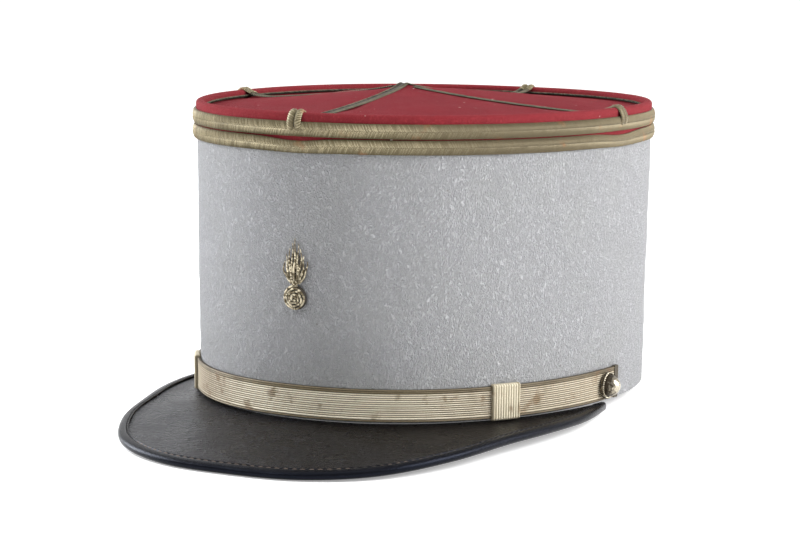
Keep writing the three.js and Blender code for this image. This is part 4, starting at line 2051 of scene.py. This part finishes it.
        # From the third row up the dome is painted: a dark reflection low down fading to a pale
        # highlight at the top; the first two rows are patina in the corner.
        dome[:, 2] = [1.0, 0.9, *(0.55 - 0.035 * np.arange(len(rise) - 2))]
        rows = np.concatenate([np.array(self.button_foot) * (radius, MM, 1.0), dome])
        spin = np.linspace(0, 2 * math.pi, self.button_sides, endpoint=False)
        away = ring(spot.across[None], spot.up[None], spin)[0]
        circles = rows[:, None, :1] * away[None] + rows[:, None, 1:2] * spot.square
        shell = Shell.swept(spot.origin + circles, loop=False)
        shell.points[-1] = spot.at(0.0, 0.0, height)
        shell.numbers["corner"] = np.append(np.repeat(rows[:, 2], len(spin)), [0.5, 0.0])
        button = shell.build("dome", self.wardrobe.gilt, 180.0)
        border = Path(
            spot.origin + away * self.rope_share * radius + spot.square * self.rope_rise,
            away,
            np.tile(spot.square, (len(spin), 1)),
            loop=True,
        )
        twist = self.tools.strand("twist", 0.38 * MM, 0.38 * MM, 0.7 * MM, 0.2 * MM)
        rope = self.tools.laid.lay(border, twist, 0.75 * MM, self.wardrobe.gilt, seed=5)
        node = f"button_{side.word}"
        piece = merged(f"{node}_dome", [button, rope])
        self.hand_over(piece, node, Slot.BUTTON_GILT)


@dataclass
class Badge(SubAssembly):
    """A small flame over a ball, embroidered in coiled bullion."""

    waist: float = 50.9 * MM
    out: float = 0.4 * MM
    ball_radius: float = 4.8 * MM
    wire: float = 0.12 * MM
    strand: float = 0.27 * MM
    pitch: float = 0.5 * MM
    pad_length: float = 12.0 * MM
    flame_half: float = 4.1 * MM
    spread: float = 4.6
    longest: float = 16.6
    ball_turns: float = 4.2
    spot: Spot = field(init=False)
    winding: bpy.types.Object = field(init=False)

    @property
    def tongues(self) -> list[tuple[float, float, float, float]]:
        """Sizes of the flame's tongues, in millimetres.

        Returns:
            Place of the foot and of the tip, length and height of each.
        """
        under = [
            (1.6 * s, self.spread * s, self.longest - 8.2 * abs(s) ** 1.15, 0.65 - 0.3 * abs(s))
            for s in np.linspace(-1, 1, 9)
        ]
        over = [
            (1.35 * s, 3.3 * s, 0.72 * self.longest - 5.8 * abs(s), 1.3 - 0.3 * abs(s))
            for s in np.linspace(-0.9, 0.9, 5)
        ]
        return under + over

    def build(self) -> None:
        """Builds the flame and the ball."""
        self.spot = self.form.spot(0.0, self.waist, self.out)
        self.winding = self.tools.coil("bullion_turn", self.strand, self.wire, self.pitch)
        self._flame()
        self._ball()

    def _purl(
        self, x: Array, y: Array, z: Array, size: Array, seed: int
    ) -> list[bpy.types.Object]:
        """Builds one length of bullion: a core and the wire wound round it.

        Args:
            x: Place across, at each point.
            y: Place upwards.
            z: Height above the felt.
            size: Thickness as a share of the full one.
            seed: Seed of the turns' small differences.

        Returns:
            The core and the winding.
        """
        points = self.spot.at(x, y, z)
        along = unit(np.gradient(points, axis=0))
        side = unit(np.cross(along, self.spot.square))
        face = np.cross(side, along)
        angle = np.linspace(0, 2 * math.pi, 8, endpoint=False)
        section = ring(side, face, angle) * (size * self.strand)[:, None, None]
        core = Shell.swept(points[:, None] + section, loop=False)
        core_piece = core.build("core", self.wardrobe.bullion, 60.0)
        path = Path(points, side, face, size)
        coil = self.tools.laid.lay(
            path, self.winding, self.pitch, self.wardrobe.bullion, seed=seed, wander=0.05
        )
        return [core_piece, coil]

    def _padding(self, y: Array, half: Array, rise: Array) -> bpy.types.Object:
        """Builds the felt pad under the bullion, near-black as painted shade in the gaps between the
        strands.

        Args:
            y: Places upwards.
            half: Half the pad's width at each place.
            rise: Its height at each place.

        Returns:
            The pad.
        """
        angle = np.linspace(0, math.pi, 9)
        x = half[:, None] * np.cos(angle)[None, :]
        z = rise[:, None] * np.sin(angle)[None, :] + 0.05 * MM
        section = self.spot.at(x, y[:, None], z)
        return Shell.swept(section, loop=False).build("pad", self.wardrobe.backing, 60.0)

    def _flame(self) -> None:
        """Builds the tongues, which rise side by side from the waist and curl at their tips."""
        way = np.linspace(0.02, 0.98, 24)
        belly = np.sin(math.pi * way**0.62) ** 0.75
        pad = self._padding(way * self.pad_length, self.flame_half * belly, 0.7 * MM * belly)
        pieces: list[bpy.types.Object] = [pad]
        share = np.linspace(0.0, 1.0, 26)
        for i, (foot, tip, length, height) in enumerate(self.tongues):
            spread = 1 - (1 - share) ** 2.3
            belly = 0.09 * tip * np.sin(share * math.pi) ** 2
            sway = 0.3 * np.sin(share * 8.5 + 2.4 * i) * share**0.7
            x = (foot + (tip - foot) * spread + belly + sway) * MM
            y = (0.15 + length * share) * MM
            bow = np.sin(np.clip(share * 1.1 + 0.15, 0, 1) * math.pi) ** 0.6
            z = (0.3 + height * bow + 0.15 * np.sin(share * 11.0 + 1.7 * i)) * MM
            size = 1.08 - 0.68 * share**2.2
            pieces += self._purl(x, y, z, size, 40 + i)
        flame = merged("badge_flame_bullion", pieces)
        self.hand_over(flame, "badge_flame", Slot.BADGE_BULLION)

    def _ball(self) -> None:
        """Builds the ball, a low dome of bullion laid in a coil, and the short neck above it."""
        middle = -(self.ball_radius + 0.3 * MM)
        way = np.cos(np.linspace(0.08, math.pi - 0.08, 18))
        round_half = np.sqrt(1 - way**2)
        radius = self.ball_radius - 0.3 * MM
        pad = self._padding(middle + way * radius, radius * round_half, 1.15 * MM * round_half)
        pieces: list[bpy.types.Object] = [pad]
        angle = np.linspace(0, 2 * math.pi * self.ball_turns, 150)
        share = angle / angle[-1]
        wobble = 0.2 * MM * np.sin(4.3 * angle) * share * (1 - share) * 4
        radius = (self.ball_radius - 0.45 * MM) * (1 - share) + 0.15 * MM + wobble
        x = radius * np.cos(angle + math.pi / 2)
        y = middle + radius * np.sin(angle + math.pi / 2)
        z = (0.35 + 1.15 * np.sqrt(np.clip(1 - (radius / self.ball_radius) ** 2, 0, 1))) * MM
        pieces += self._purl(x, y, z, np.full(len(x), 1.08), 71)
        for i, foot in enumerate((-0.9, -0.3, 0.3, 0.9)):
            rise = np.linspace(-0.9, 0.6, 8) * MM
            bend = foot * MM * (1.1 - 0.25 * np.sin(np.linspace(0, math.pi, 8)))
            lift = (0.55 + 0.5 * np.sin(np.linspace(0.2, 2.9, 8))) * MM
            pieces += self._purl(bend, rise, lift, np.full(8, 0.85), 80 + i)
        ball = merged("badge_ball_bullion", pieces)
        self.hand_over(ball, "badge_ball", Slot.BADGE_BULLION)


@dataclass
class Peak(SubAssembly):
    """The leather peak, its stitching and the patent binding round its edge."""

    ends: float = math.radians(87)
    reaches: tuple[float, ...] = (55.5, 55.5, 50.6, 38.2, 24.4, 16.4, 10.1, 1.5)
    fan: float = 0.81
    slope_front: float = math.radians(9.45)
    slope_sides: float = math.radians(3.15)
    wall: float = 1.8 * MM
    tuck: float = 2.2 * MM
    sink_front: float = 0.35 * MM
    sink_ends: float = 1.3 * MM
    binding_width: float = 5.0 * MM
    binding_nose: float = 1.6 * MM
    binding_wall: float = 0.5 * MM
    stitch_inset: float = 4.25 * MM
    stitch_pitch: float = 3.1 * MM
    rows: int = 420

    def reach(self, turn: Array) -> Array:
        """Distance from the crown's foot to the peak's outer edge.

        Args:
            turn: Turns round the oval.

        Returns:
            The distances, on a smooth curve through the table.
        """
        table = np.array(self.reaches) * MM
        last = len(table) - 1
        padded = np.concatenate([[table[1]], table, [2 * table[-1] - table[-2]]])
        place = np.minimum(np.abs(turn) / self.ends, 1.0) * last
        i = np.minimum(place.astype(int), last - 1)
        t = place - i
        before, a, b, after = padded[i], padded[i + 1], padded[i + 2], padded[i + 3]
        slope_in, slope_out = (b - before) / 2, (after - a) / 2
        cube = 2 * (a - b) + slope_in + slope_out
        square = 3 * (b - a) - 2 * slope_in - slope_out
        return a + t * (slope_in + t * (square + t * cube))

    def spot(
        self, turn: Array, along: Array, lift: Array, level_behind: bool = False
    ) -> Array:
        """Point on the peak, in its place.

        Args:
            turn: Turns round the oval.
            along: Distance from the crown's foot down the slope.
            lift: Height above the middle of the leather, square to the slope.
            level_behind: Whether the leather is level behind the crown's foot.

        Returns:
            The points.
        """
        turn, along, lift = together(turn, along, lift)
        x, y = self.form.oval(turn, np.zeros_like(turn))
        heading = self.fan * turn
        slope = self.slope_front + (self.slope_sides - self.slope_front) * np.sin(turn) ** 2
        sink = self.sink_front + (self.sink_ends - self.sink_front) * (turn / self.ends) ** 6
        behind = np.minimum(along, 0.0) * level_behind
        ahead = along - behind
        distance = behind + ahead * np.cos(slope) + lift * np.sin(slope)
        height = lift * np.cos(slope) - ahead * np.sin(slope) - sink - self.wall / 2
        point = np.stack(
            [x + distance * np.sin(heading), y - distance * np.cos(heading), height], axis=-1
        )
        return self.form.seat(point)

    def build(self) -> None:
        """Builds the leather, the binding and the stitches."""
        turn = self._even_turns()
        self._leaf(turn)
        self._binding(turn)

    def _even_turns(self) -> Array:
        """Spaces turns evenly along the outer edge.

        Returns:
            The turns.
        """
        fine = np.linspace(-self.ends, self.ends, 2001)
        along = travelled(self.spot(fine, self.reach(fine), 0.0))
        return np.interp(np.linspace(0, along[-1], self.rows), along, fine)

    def _leaf(self, turn: Array) -> None:
        """Builds the leather, rounded along the crown's foot."""
        reach = self.reach(turn)
        end = np.maximum(reach - self.binding_nose - self.form.gap, -0.3 * MM)
        share = np.linspace(0.0, 1.0, 44)
        top_along = -self.tuck + (end[:, None] + self.tuck) * share[None, :]
        half = self.wall / 2
        upper = self.spot(turn[:, None], top_along, half, level_behind=True)
        lower = self.spot(turn[:, None], top_along[:, ::-1], -half, level_behind=True)
        facing = np.zeros_like(upper)
        facing[..., 2] = 1.0
        calm = np.sin(np.clip(share, 0, 1) * math.pi)[None, :, None] ** 0.5
        waved = rippled(upper, facing, [(30 * MM, 0.35 * MM), (8 * MM, 0.12 * MM)])
        upper = upper + (waved - upper) * calm
        sections = np.concatenate([upper, lower], axis=1)
        leaf = Shell.swept(sections, loop=False).build("peak_leaf", self.wardrobe.leather, 40.0)
        self.hand_over(leaf, "peak", Slot.PEAK_LEATHER)

    def _binding(self, turn: Array) -> None:
        """Builds the folded binding: a round bead, a sewn channel and a thin inner lip."""
        reach = self.reach(turn)
        slot = self.wall / 2 + self.form.gap
        face = slot + self.binding_wall
        width = np.minimum(self.binding_width, reach + 1.0 * MM)
        bead = 3.1 * MM
        angle = np.linspace(math.pi / 2, -math.pi / 2, 19)
        bead_along = -bead * (1 - np.cos(angle) ** 0.8)
        bead_lift = face * np.sign(np.sin(angle)) * np.abs(np.sin(angle)) ** 0.85
        lip = np.array([1.0, 0.96, 0.9, 0.85, 0.8, 0.74, 0.68])
        lip_lift = slot + (face - slot) * np.array([0.12, 0.8, 0.75, 0.05, 0.0, 0.6, 0.95])
        along, lifts = [], []
        scale = width / self.binding_width
        for share, lift in zip(lip, lip_lift):
            along.append(-self.binding_width * share * scale)
            lifts.append(np.full_like(reach, lift))
        for a, l in zip(bead_along, bead_lift):
            along.append(a * scale)
            lifts.append(np.full_like(reach, l))
        for share, lift in zip(lip[::-1], lip_lift[::-1]):
            along.append(-self.binding_width * share * scale)
            lifts.append(np.full_like(reach, -lift))
        nose = -self.binding_nose
        for a, l in ((-0.97, -slot), (None, -slot), (None, slot), (-0.97, slot)):
            inner = np.full_like(reach, nose) if a is None else a * width
            along.append(np.minimum(inner, -0.3 * width))
            lifts.append(np.full_like(reach, l))
        offsets = np.stack(along, axis=1) + reach[:, None]
        section = self.spot(turn[:, None], offsets, np.stack(lifts, axis=1))
        bead_piece = Shell.swept(section, loop=False).build(
            "bead", self.wardrobe.patent, 50.0
        )
        line = np.linspace(-self.ends * 0.93, self.ends * 0.93, 400)
        along_line = self.reach(line) - self.stitch_inset
        level = slot + 0.12 * MM
        points = self.spot(line, along_line, level)
        ahead = unit(np.gradient(points, axis=0))
        above = unit(self.spot(line, along_line, level + MM) - points)
        side = unit(np.cross(above, ahead))
        path = Path(points, side, above)
        share = np.linspace(-1, 1, 7)
        stitch_line = np.stack(
            [share * 0.9 * MM, 0.1 * MM * share, 0.22 * MM * (1 - share**2) - 0.12 * MM], axis=-1
        )
        stitch = tube(stitch_line, 0.19 * MM * np.ones(7), 6).build("stitch", None)
        self.tools.templates.append(stitch)
        stitches = self.tools.laid.lay(
            path, stitch, self.stitch_pitch, self.wardrobe.stitch, seed=9, wander=0.1
        )
        binding = merged("peak_binding_bead", [bead_piece, stitches])
        self.hand_over(binding, "peak_binding", Slot.PEAK_PATENT)


# ---- Studio ----------------------------------------------------------------------------------


@dataclass(frozen=True)
class Lamp:
    """A soft lamp: where it stands, its size, its power and its tint."""

    name: str
    place: tuple[float, float, float]
    size: tuple[float, float]
    power: float
    tint: Colour = (1.0, 1.0, 1.0)


@dataclass
class Studio:
    """The pale floor, the soft light and the camera."""

    azimuth: float = math.radians(24.877)
    elevation: float = math.radians(8.329)
    roll: float = math.radians(0.495)
    distance: float = 0.99729
    focal: float = 2469.749
    axis_x: float = 22.911
    axis_y: float = -21.617
    frame_width: float = 800.0
    aim_height: float = 0.055
    lamps: tuple[Lamp, ...] = (
        Lamp("right_window", (1.1, 0.3, 0.6), (0.8, 1.0), 28.0),
        Lamp("left_window", (-1.15, -0.05, 0.5), (0.7, 0.9), 26.0, (0.95, 0.97, 1.0)),
        Lamp("top_panel", (0.0, -0.05, 1.3), (1.2, 1.2), 4.5),
        Lamp("front_strip", (-0.45, -0.95, 1.15), (0.9, 0.2), 6.0),
    )

    def build(self, form: CapForm) -> None:
        """Builds the studio round the cap.

        Args:
            form: The cap's form, whose crown the camera is placed by.
        """
        self._floor()
        self._light()
        self._camera(form)

    def _floor(self) -> None:
        """Builds the floor, which curves up behind the cap."""
        profile = [(-3.0, 0.0), (1.6, 0.0)]
        profile += [
            (1.6 + 0.8 * math.sin(a), 0.8 - 0.8 * math.cos(a))
            for a in np.linspace(0.1, math.pi / 2, 12)
        ]
        profile += [(2.4, 3.0)]
        turn = Matrix.Rotation(self.azimuth, 3, "Z")
        points = [turn @ Vector((x, y, z)) for x in (-4.0, 4.0) for y, z in profile]
        size = len(profile)
        faces = [(j, size + j, size + j + 1, j + 1) for j in range(size - 1)]
        mesh = bpy.data.meshes.new("floor")
        mesh.from_pydata([tuple(p) for p in points], [], faces)
        mesh.shade_smooth()
        paint = Paint("pale_floor")
        tone = paint.mix(paint.noise(paint.place, 0.004, 2.0), (0.86, 0.86, 0.86), (0.88, 0.88, 0.88))
        glow = {"Emission_Color": (1.0, 1.0, 1.0), "Emission_Strength": 0.3}
        mesh.materials.append(paint.close(Base_Color=tone, Roughness=0.85, **glow))
        floor = bpy.data.objects.new("floor", mesh)
        bpy.context.scene.collection.objects.link(floor)

    def _light(self) -> None:
        """Places the lamps and a pale sky."""
        world = bpy.data.worlds.new("studio")
        world.use_nodes = True
        background = world.node_tree.nodes["Background"]
        background.inputs["Color"].default_value = (1.0, 1.0, 1.0, 1.0)
        background.inputs["Strength"].default_value = 0.5
        bpy.context.scene.world = world
        for lamp in self.lamps:
            light = bpy.data.lights.new(lamp.name, "AREA")
            light.shape = "RECTANGLE"
            light.size, light.size_y = lamp.size
            light.energy = lamp.power
            light.color = lamp.tint
            holder = bpy.data.objects.new(lamp.name, light)
            holder.location = lamp.place
            aim = Vector((0.0, 0.02, 0.06)) - Vector(lamp.place)
            holder.rotation_euler = aim.to_track_quat("-Z", "Y").to_euler()
            bpy.context.scene.collection.objects.link(holder)
        bpy.context.scene.view_settings.view_transform = "Standard"

    def _camera(self, form: CapForm) -> None:
        """Places the camera a little above the peak, in front of the wearer's left."""
        az, el = self.azimuth, self.elevation
        back = Vector((math.sin(az) * math.cos(el), -math.cos(az) * math.cos(el), math.sin(el)))
        level = Vector((math.cos(az), math.sin(az), 0.0))
        above = back.cross(level)
        right = level * math.cos(self.roll) + above * math.sin(self.roll)
        up = above * math.cos(self.roll) - level * math.sin(self.roll)
        centre = Vector(form.seat(np.zeros(3)))
        place = centre + Vector((0.0, 0.0, self.aim_height)) + back * self.distance
        aim = -back - right * (self.axis_x / self.focal) + up * (self.axis_y / self.focal)
        view = -aim.normalized()
        right = (right - view * right.dot(view)).normalized()
        up = view.cross(right)
        lens = bpy.data.cameras.new("camera")
        lens.sensor_width = 36.0
        lens.lens = self.focal / self.frame_width * 36.0
        camera = bpy.data.objects.new("camera", lens)
        camera.matrix_world = Matrix.LocRotScale(
            place, Matrix((right, up, view)).transposed().to_quaternion(), None
        )
        bpy.context.scene.collection.objects.link(camera)
        bpy.context.scene.camera = camera


def main() -> None:
    """Builds the cap piece by piece and logs each."""
    logging.basicConfig(level=logging.INFO, format="%(name)s: %(message)s")
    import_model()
    form = CapForm.seated(*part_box("crown_felt"))
    wardrobe, tools = Wardrobe(), Toolbox()
    kit = (form, wardrobe, tools)
    head = RedHead(*kit)
    for part in (
        Crown(*kit),
        head,
        Braids(*kit),
        Soutaches(*kit, head),
        ChinStrap(*kit),
        Badge(*kit),
        Peak(*kit),
    ):
        part.build()
    tools.clear()
    Studio().build(form)


if __name__ == "__main__":
    main()
